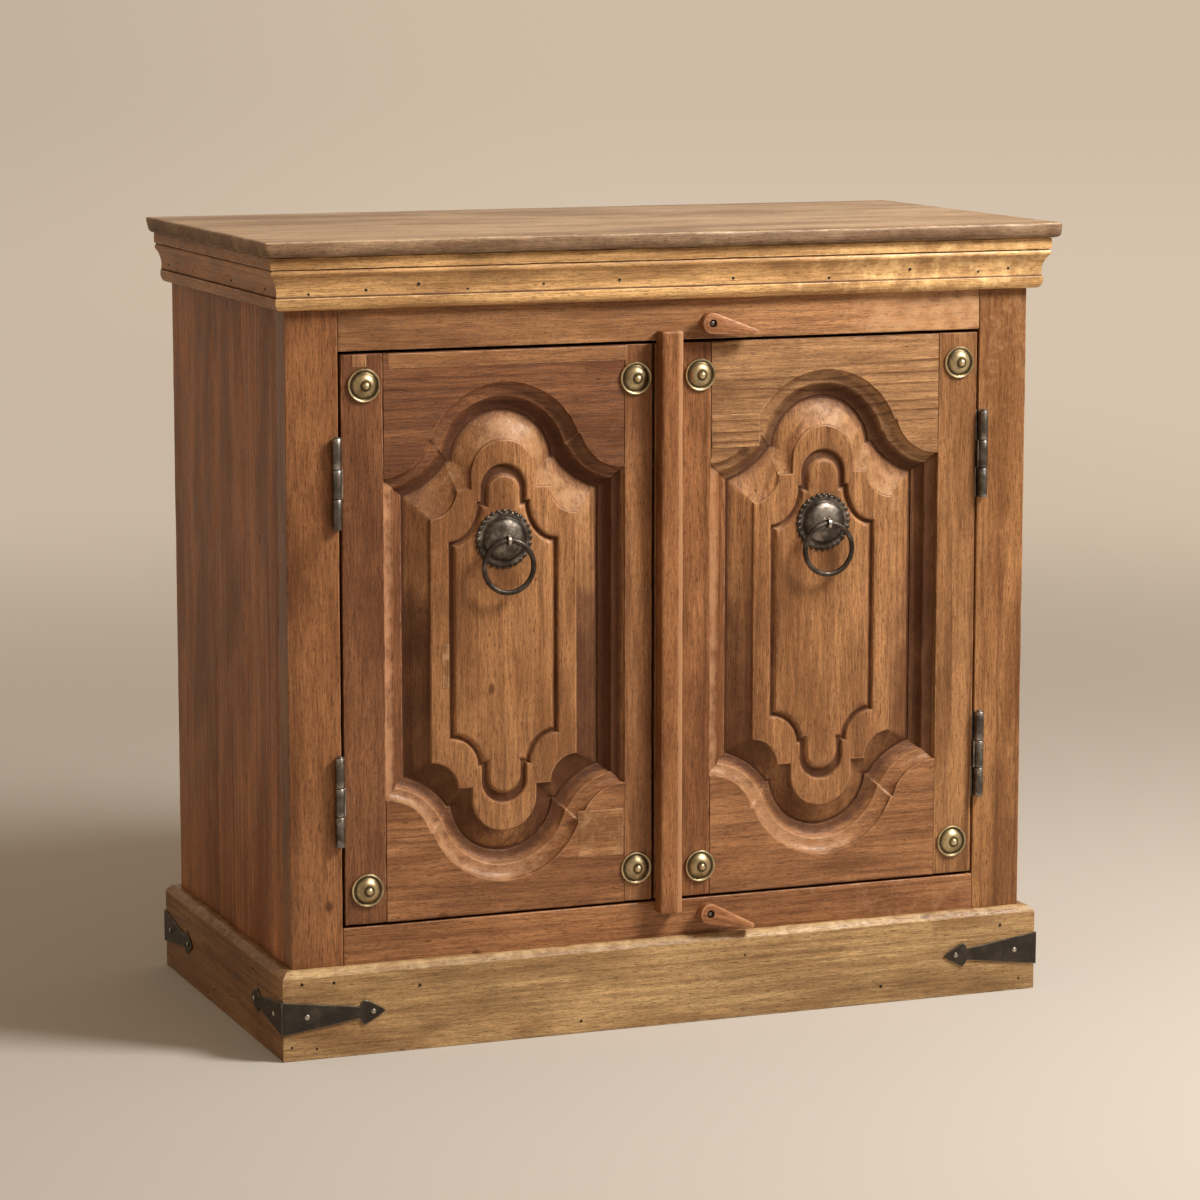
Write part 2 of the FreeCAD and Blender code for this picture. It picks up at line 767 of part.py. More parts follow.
def pull_ring(x):
    """A forged ring that hangs in the eye."""
    outline = []
    for index in range(ring_wire_sides):
        angle = 2 * math.pi * (index + 0.5) / ring_wire_sides
        outline.append(on_circle((ring_radius, 0), ring_wire / 2, angle))
    centre = vec(x, eye_y, pull_z - ring_radius)
    return turned(outline, along(centre, vec(0, -1, 0)), ring_bends, ring=True)


# Butt hinges between a frame stile and a door, for the hinge side sign: -1 left, +1 right
def knuckle_spans(middle_z):
    """Three knuckles: the frame leaf has the outer two, the door leaf the middle one."""
    low = middle_z - hinge_length / 2
    high = middle_z + hinge_length / 2
    outer = hinge_length * knuckle_share
    half_gap = knuckle_gap / 2
    return [(low, low + outer - half_gap), (low + outer + half_gap, high - outer - half_gap),
            (high - outer + half_gap, high)]


def hinge_leaf(sign, leaf_x, spans, middle_z):
    """A leaf flat on the edge of its stile, with knuckles rolled round the pin."""
    inner_x = leaf_x - sign * leaf_thickness
    axis_x = sign * hinge_axis_x
    web_x = sign * (hinge_axis_x - barrel_radius + leaf_thickness / 2)
    low = middle_z - hinge_length / 2
    shapes = [block((leaf_x, inner_x), (face_y, face_y + leaf_depth), (low, low + hinge_length))]
    for start, end in spans:
        foot = vec(axis_x, hinge_axis_y, start)
        shapes.append(bar(barrel_radius, foot, vec(0, 0, 1), end - start, bar_sides))
        shapes.append(block((web_x, inner_x), (hinge_axis_y, face_y), (start, end)))
    bore_radius = around(pin_radius + pin_clearance, bar_sides)
    bore = bar(bore_radius, vec(axis_x, hinge_axis_y, low), vec(0, 0, 1), hinge_length, bar_sides)
    return fuse_all(shapes).cut(bore)


def hinge_pin(sign, middle_z):
    """A round pin with a low cone for a head, which sits on the upper knuckle."""
    foot = vec(sign * hinge_axis_x, hinge_axis_y, middle_z - hinge_length / 2)
    shank = Part.makeCylinder(pin_radius, hinge_length, foot, vec(0, 0, 1))
    outline = [(0, 0), (pin_head_radius, 0), (pin_radius, pin_head_height), (0, pin_head_height)]
    head = turned(outline, along(foot + vec(0, 0, hinge_length), vec(0, 0, 1)), bar_sides)
    return shank.fuse(head)


def make_hinges(side, sign):
    heights = (door_bottom + hinge_inset, door_top - hinge_inset)
    frame_leaves = []
    door_leaves = []
    pins = []
    for middle_z in heights:
        spans = knuckle_spans(middle_z)
        frame_leaves.append(hinge_leaf(sign, sign * opening_half, (spans[0], spans[2]), middle_z))
        door_leaves.append(hinge_leaf(sign, sign * (door_hinge_x + leaf_thickness), (spans[1],), middle_z))
        pins.append(hinge_pin(sign, middle_z))
    save(side + "_hinge_frame_leaves", *frame_leaves)
    save(side + "_hinge_door_leaves", *door_leaves)
    save(side + "_hinge_pins", *pins)


def make_door(side, sign, meeting_edge_x):
    centre_x = sign * panel_x
    opening = carved_opening(centre_x)
    rail = arched_top_rail(centre_x, opening)
    save(side + "_door_top_rail", rail)
    save(side + "_door_bottom_rail", mirror_z(rail, door_middle))
    save(side + "_door_hinge_stile", moulded_stile(sign * door_hinge_x, sign * hinge_seam_x, opening))
    save(side + "_door_meeting_stile", moulded_stile(meeting_edge_x, sign * meeting_seam_reach, opening))
    save(side + "_door_panel", carved_panel(centre_x))
    bosses = []
    for x in (sign * boss_meeting_reach, sign * (hinge_seam_x + hinge_stile_width / 2)):
        for z in (door_bottom + boss_inset, door_top - boss_inset):
            bosses.append(boss(x, z))
    save(side + "_door_bosses", *bosses)
    save(side + "_pull_plate", pull_plate(centre_x))
    save(side + "_pull_eye", pull_eye(centre_x))
    save(side + "_pull_ring", pull_ring(centre_x))
    make_hinges(side, sign)


def make_cover_strip():
    """The strip over the meeting of the doors, fixed to the right door and lapping the frame's rails."""
    low = opening_bottom - strip_lap
    high = opening_top + strip_lap
    back = door_face_y
    front = back - strip_thickness
    left = right_edge_x
    right = left + strip_width
    outline = [(left, back), (left, front + strip_chamfer), (left + strip_chamfer, front),
               (right - strip_chamfer, front), (right, front + strip_chamfer), (right, back)]
    strip = prism([vec(x, y, low) for x, y in outline], vec(0, 0, high - low))
    bevel = [(front, high), (front, high - 2 * strip_chamfer), (front + 2 * strip_chamfer, high)]
    corner = prism([vec(left, y, z) for y, z in bevel], vec(strip_width, 0, 0))
    save("door_cover_strip", strip.cut(corner))


# Turned latches on the frame rails
def latch_outline(pivot_z, angle, inset, y):
    """A drop: a round head about the screw, tapering to a small round tip, all drawn in by an inset."""
    lean = math.acos((latch_head_radius - latch_tip_radius) / latch_reach)
    turn = math.radians(angle)
    head = (latch_pivot_x, pivot_z)
    tip = on_circle(head, latch_reach, turn)
    spots = []
    for index in range(latch_head_bends + 1):
        swing = turn + lean + (2 * math.pi - 2 * lean) * index / latch_head_bends
        spots.append(on_circle(head, latch_head_radius - inset, swing))
    for index in range(latch_tip_bends + 1):
        swing = turn - lean + 2 * lean * index / latch_tip_bends
        spots.append(on_circle(tip, latch_tip_radius - inset, swing))
    return [vec(x, y, z) for x, z in spots]


def latch_body(pivot_z, angle):
    """A wooden button with a chamfered front edge, counterbored for its screw."""
    edge_y = latch_front_y + latch_edge
    front = latch_outline(pivot_z, angle, latch_edge, latch_front_y)
    edge = latch_outline(pivot_z, angle, 0, edge_y)
    slope = through_outlines([front, edge])
    body = slope.fuse(prism(edge, vec(0, latch_back_y - edge_y, 0)))
    start = vec(latch_pivot_x, latch_front_y, pivot_z)
    inward = vec(0, 1, 0)
    hole = bar(around(screw_radius + screw_clearance, bar_sides), start, inward, latch_thickness, bar_sides)
    counterbore = bar(counterbore_radius, start, inward, counterbore_depth, bar_sides)
    return body.cut(hole).cut(counterbore).removeSplitter()


def latch_screw(pivot_z):
    """A round-headed screw that holds the button loosely against its spacer."""
    seat_y = latch_front_y + counterbore_depth - screw_end_play
    seat = vec(latch_pivot_x, seat_y, pivot_z)
    shank = Part.makeCylinder(screw_radius, face_y - seat_y, seat, vec(0, 1, 0))
    outline = [(0, 0), (screw_head_radius, 0), (screw_radius, screw_head_height), (0, screw_head_height)]
    head = turned(outline, along(seat, vec(0, -1, 0)), bar_sides)
    return shank.fuse(head)


def latch_spacer(pivot_z):
    """A wooden washer that carries the button clear of the doors' face."""
    front_y = latch_back_y + screw_end_play
    hole = around(screw_radius + screw_clearance, bar_sides)
    depth = face_y - front_y
    outline = [(hole, 0), (spacer_radius, 0), (spacer_radius, depth), (hole, depth)]
    return turned(outline, along(vec(latch_pivot_x, front_y, pivot_z), vec(0, 1, 0)), bar_sides, ring=True)


def make_latches():
    top_z = opening_top + latch_rail_inset_top
    bottom_z = opening_bottom - latch_rail_inset_bottom
    save("upper_latch", latch_body(top_z, latch_rest_angle_top))
    save("lower_latch", latch_body(bottom_z, latch_rest_angle_bottom))
    save("latch_screws", latch_screw(top_z), latch_screw(bottom_z))
    save("latch_spacers", latch_spacer(top_z), latch_spacer(bottom_z))


os.makedirs("parts", exist_ok=True)
make_plinth()
make_cornice()
make_top()
make_face_frame()
make_sides()
make_back()
make_inside()
make_straps()
make_door("left", -1, left_edge_x)
make_door("right", 1, right_edge_x)
make_cover_strip()
make_latches()
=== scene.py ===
# %% [markdown]
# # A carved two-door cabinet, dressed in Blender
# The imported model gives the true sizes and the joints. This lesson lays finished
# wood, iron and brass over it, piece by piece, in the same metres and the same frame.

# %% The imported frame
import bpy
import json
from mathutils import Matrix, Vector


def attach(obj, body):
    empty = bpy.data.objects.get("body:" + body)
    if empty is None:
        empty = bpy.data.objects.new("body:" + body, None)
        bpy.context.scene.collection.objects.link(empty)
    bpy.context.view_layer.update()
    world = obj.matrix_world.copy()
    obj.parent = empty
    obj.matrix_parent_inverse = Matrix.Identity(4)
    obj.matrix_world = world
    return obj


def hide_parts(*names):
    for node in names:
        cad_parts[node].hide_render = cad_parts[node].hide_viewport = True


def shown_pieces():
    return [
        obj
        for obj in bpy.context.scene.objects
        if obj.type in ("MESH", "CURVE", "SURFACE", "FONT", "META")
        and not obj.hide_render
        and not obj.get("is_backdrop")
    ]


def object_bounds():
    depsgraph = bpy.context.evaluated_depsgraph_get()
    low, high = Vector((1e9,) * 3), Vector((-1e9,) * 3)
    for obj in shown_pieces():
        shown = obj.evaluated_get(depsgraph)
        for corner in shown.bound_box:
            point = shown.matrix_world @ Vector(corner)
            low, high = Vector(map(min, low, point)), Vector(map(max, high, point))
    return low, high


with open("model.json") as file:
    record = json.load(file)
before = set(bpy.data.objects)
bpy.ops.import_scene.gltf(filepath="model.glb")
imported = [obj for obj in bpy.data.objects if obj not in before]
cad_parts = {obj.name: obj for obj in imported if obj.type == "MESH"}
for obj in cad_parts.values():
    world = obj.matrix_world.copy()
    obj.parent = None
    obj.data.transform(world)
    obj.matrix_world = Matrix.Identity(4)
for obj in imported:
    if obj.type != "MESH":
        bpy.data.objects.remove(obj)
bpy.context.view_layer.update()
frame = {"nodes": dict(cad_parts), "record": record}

# %% [markdown]
# ## Camera
# The view was fitted to the corners of the cupboard in the photograph: a long lens about
# 4.8 m away, a little to the left and above. A long lens keeps the uprights nearly parallel.

# %% Camera
import json
import math
import bpy
import bmesh
import numpy as np

MM = 0.001
scene = bpy.context.scene
camera_down, camera_right = 8.818, 21.289


def placed(name, data):
    """A new object in the scene."""
    made = bpy.data.objects.new(name, data)
    scene.collection.objects.link(made)
    return made


camera = placed("camera", bpy.data.cameras.new("camera"))
camera.data.sensor_width = 36
camera.data.lens = 123.52
camera.location = (-1.72865, -4.4466, 1.19425)
camera.rotation_euler = (math.radians(90 - camera_down), 0, math.radians(-camera_right))
scene.camera = camera
scene.view_settings.view_transform = "Standard"
print("lens", round(camera.data.lens, 2), "mm at", [round(v, 2) for v in camera.location])

# %% [markdown]
# ## Node helpers
# Every finish below is a tree of nodes. `put` makes one node, sets its values and links
# its inputs in one line, so that the recipe of a finish can be read from top to bottom.

# %% Node helpers
def put(tree, kind, inputs=None, **settings):
    made = tree.nodes.new(kind)
    for key, value in settings.items():
        setattr(made, key, value)
    for key, value in (inputs or {}).items():
        if isinstance(value, bpy.types.NodeSocket):
            tree.links.new(value, made.inputs[key])
        else:
            made.inputs[key].default_value = value
    return made


def colour_mix(tree, share, first, second, blend="MIX"):
    inputs = {0: share, 6: first, 7: second}
    return put(tree, "ShaderNodeMix", inputs, data_type="RGBA", blend_type=blend).outputs[2]


def sums(tree, operation, first, second):
    return put(tree, "ShaderNodeMath", {0: first, 1: second}, operation=operation).outputs[0]


def times(tree, first, second):
    return sums(tree, "MULTIPLY", first, second)


def vector_sums(tree, operation, first, second):
    inputs = {0: first, 1: second}
    return put(tree, "ShaderNodeVectorMath", inputs, operation=operation).outputs[0]


def ramp(tree, value, low, high, to_low=0.0, to_high=1.0):
    inputs = {"Value": value, "From Min": low, "From Max": high, "To Min": to_low, "To Max": to_high}
    return put(tree, "ShaderNodeMapRange", inputs, interpolation_type="SMOOTHSTEP").outputs[0]


def cloud(tree, vector, scale, detail=2.0, roughness=0.55, output="Fac"):
    inputs = {"Vector": vector, "Scale": scale, "Detail": detail, "Roughness": roughness}
    return put(tree, "ShaderNodeTexNoise", inputs).outputs[output]


print("node helpers ready")

# %% [markdown]
# A shader group keeps an effect that several finishes share. A blank material gives each
# finish an empty tree to start from.

# %% Groups and blank materials
def new_group(name, inputs, outputs):
    """A shader group with named sockets, and its two end nodes."""
    tree = bpy.data.node_groups.new(name, "ShaderNodeTree")
    for label, kind in inputs:
        tree.interface.new_socket(label, in_out="INPUT", socket_type="NodeSocket" + kind)
    for label, kind in outputs:
        tree.interface.new_socket(label, in_out="OUTPUT", socket_type="NodeSocket" + kind)
    return tree, tree.nodes.new("NodeGroupInput").outputs, tree.nodes.new("NodeGroupOutput").inputs


def blank_material(name):
    made = bpy.data.materials.new(name)
    made.use_nodes = True
    made.node_tree.nodes.clear()
    return made, made.node_tree


print("groups and materials can be made")

# %% [markdown]
# ## Grain
# The cupboard is put together from old boards, each sawn from another place in a log. A
# picture of wood would repeat. So each board carries its own coordinates in a "grain"
# attribute, two across the log and one along it. The group first draws year rings about
# the log's heart, which show only in places, and cloudy changes of tone.

# %% The grain group: rings and tones
def board_noise(tree, place, across, along, detail=2.0, roughness=0.55):
    """Noise with one scale across the log and another along it."""
    stretched = vector_sums(tree, "MULTIPLY", place, (across, across, along))
    return cloud(tree, stretched, 1.0, detail, roughness)


tree, given, result = new_group(
    "plank grain",
    [("Place", "Vector"), ("Pale", "Color"), ("Deep", "Color"), ("Line", "Color"),
     ("Figure", "Float"), ("Pores", "Float")],
    [("Color", "Color"), ("Height", "Float"), ("Roughness", "Float")])
place = given["Place"]
drawn_out = vector_sums(tree, "MULTIPLY", place, (1, 1, 0.07))
sway = vector_sums(tree, "MULTIPLY", cloud(tree, drawn_out, 16.0, output="Color"), [0.016] * 3)
ring_inputs = {"Vector": vector_sums(tree, "ADD", drawn_out, sway), "Scale": 30.0, "Distortion": 2.6,
               "Detail": 3.0, "Detail Scale": 1.1, "Detail Roughness": 0.6}
year_rings = put(tree, "ShaderNodeTexWave", ring_inputs, wave_type="RINGS", rings_direction="Z",
                 wave_profile="SAW").outputs["Fac"]
showing = ramp(tree, board_noise(tree, place, 20, 3), 0.36, 0.62)
late_wood = times(tree, times(tree, ramp(tree, year_rings, 0.55, 1.0), showing), given["Figure"])
patches = ramp(tree, board_noise(tree, place, 16, 2.6, 3.0), 0.36, 0.64)
streaks = board_noise(tree, place, 105, 6, 4.0, 0.62)
cloudy = ramp(tree, board_noise(tree, place, 13, 7, 4.0, 0.6), 0.46, 0.68)
tint = colour_mix(tree, patches, given["Pale"], given["Deep"])
tint = colour_mix(tree, ramp(tree, streaks, 0.42, 0.66, 0.0, 0.7), tint, given["Deep"])
tint = colour_mix(tree, times(tree, cloudy, 0.55), tint, given["Pale"])
tint = colour_mix(tree, late_wood, tint, given["Line"])
print("rings and tones of", len(tree.nodes), "nodes")

# %% [markdown]
# Close up, wood is a bundle of fibres with open pores, short dark flecks and a fine grit.
# All four are one noise at other scales, stretched along the log.

# %% The grain group: fibres and pores
fibres = board_noise(tree, place, 480, 27, 5.0, 0.7)
pores = ramp(tree, board_noise(tree, place, 1200, 90, 1.0), 0.58, 0.7)
flecks = ramp(tree, board_noise(tree, place, 520, 75), 0.62, 0.72)
grit = ramp(tree, board_noise(tree, place, 800, 330, 3.0, 0.7), 0.32, 0.68, 0.84, 1.16)
tone = ramp(tree, board_noise(tree, place, 8, 1.1), 0.36, 0.64, 0.92, 1.1)
pores = times(tree, sums(tree, "MAXIMUM", pores, flecks), given["Pores"])
grey = times(tree, times(tree, ramp(tree, fibres, 0.34, 0.66, 0.76, 1.22), tone), grit)
shade = put(tree, "ShaderNodeCombineColor", {0: grey, 1: grey, 2: grey}).outputs[0]
tint = colour_mix(tree, 1.0, tint, shade, "MULTIPLY")
tint = colour_mix(tree, pores, tint, given["Line"])
print("with fibres", len(tree.nodes), "nodes")

# %% [markdown]
# Now and then a small knot breaks the grain. Cells over the board's surface choose a few
# spots, and the fibres make their rims ragged. Fibres stand up, pores and late wood lie
# deeper, and that height becomes the bump of each finish.

# %% The grain group: knots and height
axes = put(tree, "ShaderNodeSeparateXYZ", {0: place}).outputs
around_log = sums(tree, "ADD", axes["X"], axes["Y"])
surface = put(tree, "ShaderNodeCombineXYZ", {0: around_log, 1: axes["Z"]}).outputs[0]
cell_inputs = {"Vector": vector_sums(tree, "MULTIPLY", surface, (6, 4, 0)), "Scale": 1.0}
cells = put(tree, "ShaderNodeTexVoronoi", cell_inputs, voronoi_dimensions="2D").outputs
chosen = ramp(tree, put(tree, "ShaderNodeSeparateColor", {0: cells["Color"]}).outputs[0], 0.66, 0.68)
ragged = times(tree, sums(tree, "SUBTRACT", fibres, 0.5), 0.03)
from_middle = sums(tree, "ADD", cells["Distance"], ragged)
knots = times(tree, ramp(tree, from_middle, 0.012, 0.034, 0.85, 0.0), chosen)
tint = colour_mix(tree, knots, tint, given["Line"])
height = sums(tree, "SUBTRACT", times(tree, fibres, 0.7), times(tree, pores, 0.8))
height = sums(tree, "SUBTRACT", height, times(tree, late_wood, 0.3))
height = sums(tree, "ADD", height, times(tree, grit, 0.5))
tree.links.new(tint, result["Color"])
tree.links.new(height, result["Height"])
tree.links.new(ramp(tree, fibres, 0.35, 0.68, 0.3, 0.5), result["Roughness"])
plank_grain = tree
print("grain group of", len(tree.nodes), "nodes")

# %% [markdown]
# ## Wear, grime and painted light
# Decades of hands polish and chip the corners, and dust and wax settle in the hollows. The
# meshes carry two attributes for this: "edge" is 1 on an outer corner and "hollow" is 1 in
# an inner one. On the wood, "edge" also carries painted highlights on faces turned to the
# lamp, and "hollow" carries painted shade in recesses and on faces turned from it. Two groups
# break these up with noise, so that the wear isn't an even line.

# %% The wear and grime groups
def ragged_mark(tree, mark, noise, spread):
    return sums(tree, "ADD", mark, times(tree, sums(tree, "SUBTRACT", noise, 0.5), spread))


def mark_inputs(mark, coat):
    """The inputs of a group that lays a coat over a colour where a mark says so."""
    return [("Color", "Color"), (mark, "Float"), ("Place", "Vector"), (coat, "Color"), ("Amount", "Float")]


# Lays the pale rubbed colour on worn corners, and on the wood also as painted highlight where the edge mark
# carries it.
tree, given, result = new_group(
    "edge wear and painted highlight", mark_inputs("Edge", "Worn_and_lit"), [("Color", "Color"), ("Mask", "Float")])
reach = ragged_mark(tree, given["Edge"], cloud(tree, given["Place"], 55.0, 5.0, 0.7), 1.5)
worn_and_lit = times(tree, ramp(tree, reach, 0.62, 1.2), given["Amount"])
tree.links.new(colour_mix(tree, worn_and_lit, given["Color"], given["Worn_and_lit"]), result["Color"])
tree.links.new(worn_and_lit, result["Mask"])
wear_and_highlight_group = tree

# Darkens the hollows with grime, and on the wood also with painted shade in recesses and on faces turned from
# the lamp.
tree, given, result = new_group("grime and painted shade", mark_inputs("Hollow", "Grime_and_shade"), [("Color", "Color")])
depth = ragged_mark(tree, given["Hollow"], cloud(tree, given["Place"], 34.0, 4.0, 0.65), 0.6)
stain = ramp(tree, cloud(tree, given["Place"], 7.0, 3.0), 0.52, 0.8, 0.0, 0.32)
shade_and_grime = times(tree, sums(tree, "MAXIMUM", ramp(tree, depth, 0.18, 0.95), stain), given["Amount"])
tree.links.new(colour_mix(tree, shade_and_grime, given["Color"], given["Grime_and_shade"]), result["Color"])
grime_and_shade_group = tree
print("wear and grime groups of", len(wear_and_highlight_group.nodes), "and", len(grime_and_shade_group.nodes), "nodes")

# %% [markdown]
# ## Woods
# The boards come from many trees: golden mouldings, red-brown old doors, brown uprights and
# plain dark boards inside. One recipe with different tones makes them all: paler, deeper
# and dark-lined wood are the tone times a factor, and rubbed wood is paler still and a
# little chalky; the same pale colour is laid as painted highlight. Hollows hold dust, so they
# are rougher, and their dark colour is also painted shade.

# %% The recipe of the woods
PALE_WOOD, DEEP_WOOD, LINE_WOOD = (1.34, 1.4, 1.42), (0.66, 0.6, 0.55), (0.34, 0.25, 0.2)
# The worn colour is also laid as painted highlight, and the dark wax colour as painted shade in the hollows
# and on faces turned from the lamp.
WORN_AND_LIT_WOOD, CHALK = (1.5, 1.72, 1.75), 0.05
GRIME_AND_SHADE = (0.052, 0.012, 0.003)


def attribute(tree, name, output="Fac"):
    return put(tree, "ShaderNodeAttribute", attribute_name=name).outputs[output]


def aged_colour(tree, colour, place, worn_and_lit, wear, dirt_and_shade, grime):
    """A colour with rubbed edges and painted highlights, grime and painted shade in the hollows, and the mask
    of the rubbed and lit parts.
    """
    edges = put(tree, "ShaderNodeGroup",
                {"Color": colour, "Edge": attribute(tree, "edge"), "Place": place,
                 "Worn_and_lit": (*worn_and_lit, 1), "Amount": wear}, node_tree=wear_and_highlight_group).outputs
    grimy_and_shaded = put(tree, "ShaderNodeGroup",
                {"Color": edges["Color"], "Hollow": attribute(tree, "hollow"), "Place": place,
                 "Grime_and_shade": (*dirt_and_shade, 1), "Amount": grime}, node_tree=grime_and_shade_group).outputs
    return grimy_and_shaded["Color"], edges["Mask"]


def coated(tree, inputs):
    surface = put(tree, "ShaderNodeBsdfPrincipled", inputs)
    put(tree, "ShaderNodeOutputMaterial", {"Surface": surface.outputs[0]})


def wood(name, tone, figure=0.5, wear=0.8, shine=0.3, pale=1.0):
    """A finish about one tone. pale makes its rubbed wood and its painted highlights paler."""
    made, tree = blank_material(name)
    place = attribute(tree, "grain", "Vector")
    tints = {key: (*[t * f for t, f in zip(tone, factors)], 1)
             for key, factors in (("Pale", PALE_WOOD), ("Deep", DEEP_WOOD), ("Line", LINE_WOOD))}
    grain = put(tree, "ShaderNodeGroup", {"Place": place, **tints, "Figure": figure, "Pores": 0.75},
                node_tree=plank_grain).outputs
    worn_and_lit = [t * f * pale + CHALK for t, f in zip(tone, WORN_AND_LIT_WOOD)]
    colour, rubbed_and_lit = aged_colour(tree, grain["Color"], place, worn_and_lit, wear, dirt_and_shade=GRIME_AND_SHADE, grime=0.85)
    rough = sums(tree, "SUBTRACT", grain["Roughness"], times(tree, rubbed_and_lit, 0.12))
    rough = sums(tree, "ADD", rough, ramp(tree, attribute(tree, "hollow"), 0.0, 1.0, 0.0, 0.4))
    relief = put(tree, "ShaderNodeBump", {"Strength": 0.4, "Distance": 0.0006, "Height": grain["Height"]})
    coated(tree, {"Base Color": colour, "Roughness": rough, "Normal": relief.outputs["Normal"],
                  "Specular IOR Level": shine})
    return made


print("wood recipe ready")

# %% [markdown]
# Each wood is named for where it is used. The sides and ends shine less, because old wax
# has worn off them, and the plain boards inside have hardly been touched. The ends of the
# cornice and the plinth are darker copies of their fronts' woods: painted shade.

# %% Wood finishes
cornice_wood = wood("cornice wood", (0.7, 0.405, 0.166), figure=0.35)
# Painted shade: the cornice's ends are a darker copy of its front's wood.
cornice_end_shaded_wood = wood("cornice end shaded wood", (0.45, 0.207, 0.085), figure=0.35, shine=0.15)
golden_wood = wood("golden wood", (0.37, 0.174, 0.072), figure=0.4)
plinth_wood = wood("plinth wood", (0.43, 0.265, 0.12), figure=0.4)
# Painted shade: the plinth's ends and back are a darker copy of its front's wood.
plinth_end_shaded_wood = wood("plinth end shaded wood", (0.3, 0.15, 0.064), figure=0.45, shine=0.15)
top_wood = wood("top wood", (0.4, 0.258, 0.15), figure=0.35)
brown_wood = wood("brown wood", (0.262, 0.109, 0.0415))
right_stile_wood = wood("right stile wood", (0.33, 0.151, 0.057))
strip_wood = wood("strip wood", (0.3, 0.124, 0.047), figure=0.3)
side_wood = wood("side wood", (0.38, 0.153, 0.063), figure=0.55, shine=0.1)
left_door_wood = wood("dark door wood", (0.22, 0.0885, 0.037), pale=1.5)
right_door_wood = wood("old door wood", (0.315, 0.14, 0.058))
panel_wood = wood("panel wood", (0.34, 0.157, 0.0625))
amber_wood = wood("amber door wood", (0.355, 0.181, 0.078), figure=0.9)
hinge_stile_wood = wood("hinge stile wood", (0.333, 0.155, 0.061), figure=0.9)
inner_wood = wood("inner wood", (0.22, 0.107, 0.05), figure=0.4, wear=0.4)
latch_wood = wood("latch wood", (0.38, 0.16, 0.066), figure=0.3)
print("woods", [m.name for m in bpy.data.materials if "wood" in m.name])

# %% [markdown]
# ## Metals
# Iron straps, rosettes and rings are forged: dark scale, dented by the hammer, rubbed bright
# where hands reach. The bosses are turned brass with tarnish in their gutters, and the
# hinges are grey steel. Scale and dents come from noise in Object coordinates, which stay
# with the piece when a door opens.

# %% Metal finishes
def metal(name, bright, dark, tarnish, polish, dents, share, metallic=1.0):
    """share is how much of the bright metal shows between the dark scale."""
    made, tree = blank_material(name)
    place = put(tree, "ShaderNodeTexCoord").outputs["Object"]
    scale_marks = cloud(tree, place, 260.0, 6.0, 0.7)
    blotch = cloud(tree, place, 70.0, 3.0, 0.6)
    hammer = cloud(tree, place, 95.0, 2.0, 0.5)
    base = colour_mix(tree, ramp(tree, blotch, 0.5 - share, 0.95 - share), (*dark, 1), (*bright, 1))
    base = colour_mix(tree, ramp(tree, scale_marks, 0.45, 0.75, 0.0, 0.7), base, (*dark, 1))
    colour, rubbed_and_lit = aged_colour(tree, base, place, polish, wear=0.8, dirt_and_shade=tarnish, grime=0.85)
    rough = ramp(tree, scale_marks, 0.3, 0.75, 0.3, 0.58)
    rough = sums(tree, "SUBTRACT", rough, times(tree, rubbed_and_lit, 0.12))
    height = sums(tree, "ADD", hammer, times(tree, scale_marks, 0.25))
    relief = put(tree, "ShaderNodeBump", {"Strength": dents, "Distance": 0.0012, "Height": height})
    coated(tree, {"Base Color": colour, "Roughness": rough, "Metallic": metallic,
                  "Normal": relief.outputs["Normal"]})
    return made


iron = metal("forged iron", (0.36, 0.31, 0.26), (0.075, 0.062, 0.05), (0.018, 0.014, 0.011),
             (0.6, 0.55, 0.48), dents=0.5, share=0.15, metallic=0.9)
strap_iron = metal("strap iron", (0.085, 0.068, 0.05), (0.036, 0.029, 0.022), (0.02, 0.015, 0.011),
                   (0.32, 0.27, 0.21), dents=0.45, share=0.1, metallic=0.6)
brass = metal("aged brass", (0.58, 0.46, 0.26), (0.24, 0.18, 0.095), (0.05, 0.038, 0.021),
              (0.85, 0.7, 0.45), dents=0.2, share=0.25)
ring_iron = metal("ring iron", (0.2, 0.165, 0.135), (0.05, 0.04, 0.032), (0.015, 0.012, 0.01),
                  (0.55, 0.48, 0.4), dents=0.4, share=0.1, metallic=0.9)
steel = metal("hinge steel", (0.25, 0.225, 0.195), (0.085, 0.073, 0.062), (0.025, 0.02, 0.017),
              (0.55, 0.52, 0.47), dents=0.25, share=0.15)
nail_iron = metal("nail iron", (0.3, 0.26, 0.21), (0.08, 0.066, 0.052), (0.02, 0.016, 0.012),
                  (0.7, 0.65, 0.57), dents=0.3, share=0.2, metallic=0.9)
print("metals", [m.name for m in (iron, strap_iron, brass, ring_iron, steel, nail_iron)])

# %% [markdown]
# ## Shapes and their marks
# A shape here is a set of points in millimetres with its faces, its grain place and its two
# wear marks. The grain of each board starts at its own spot in the log. The spots and all
# wavering come from counted seeds, so every run makes the same boards.

# %% Shape helpers
UP, ACROSS, BACK = 2, 0, 1
SIDES = (("left", -1), ("right", 1))
LOG_LOW, LOG_HIGH = (-70, 30, 0), (70, 150, 3000)
PRIMES, SCRAMBLE = np.array((73856093, 19349663, 83492791)), ((13, 1274126177), (11, 668265263))
seeds = iter(range(1, 1000))


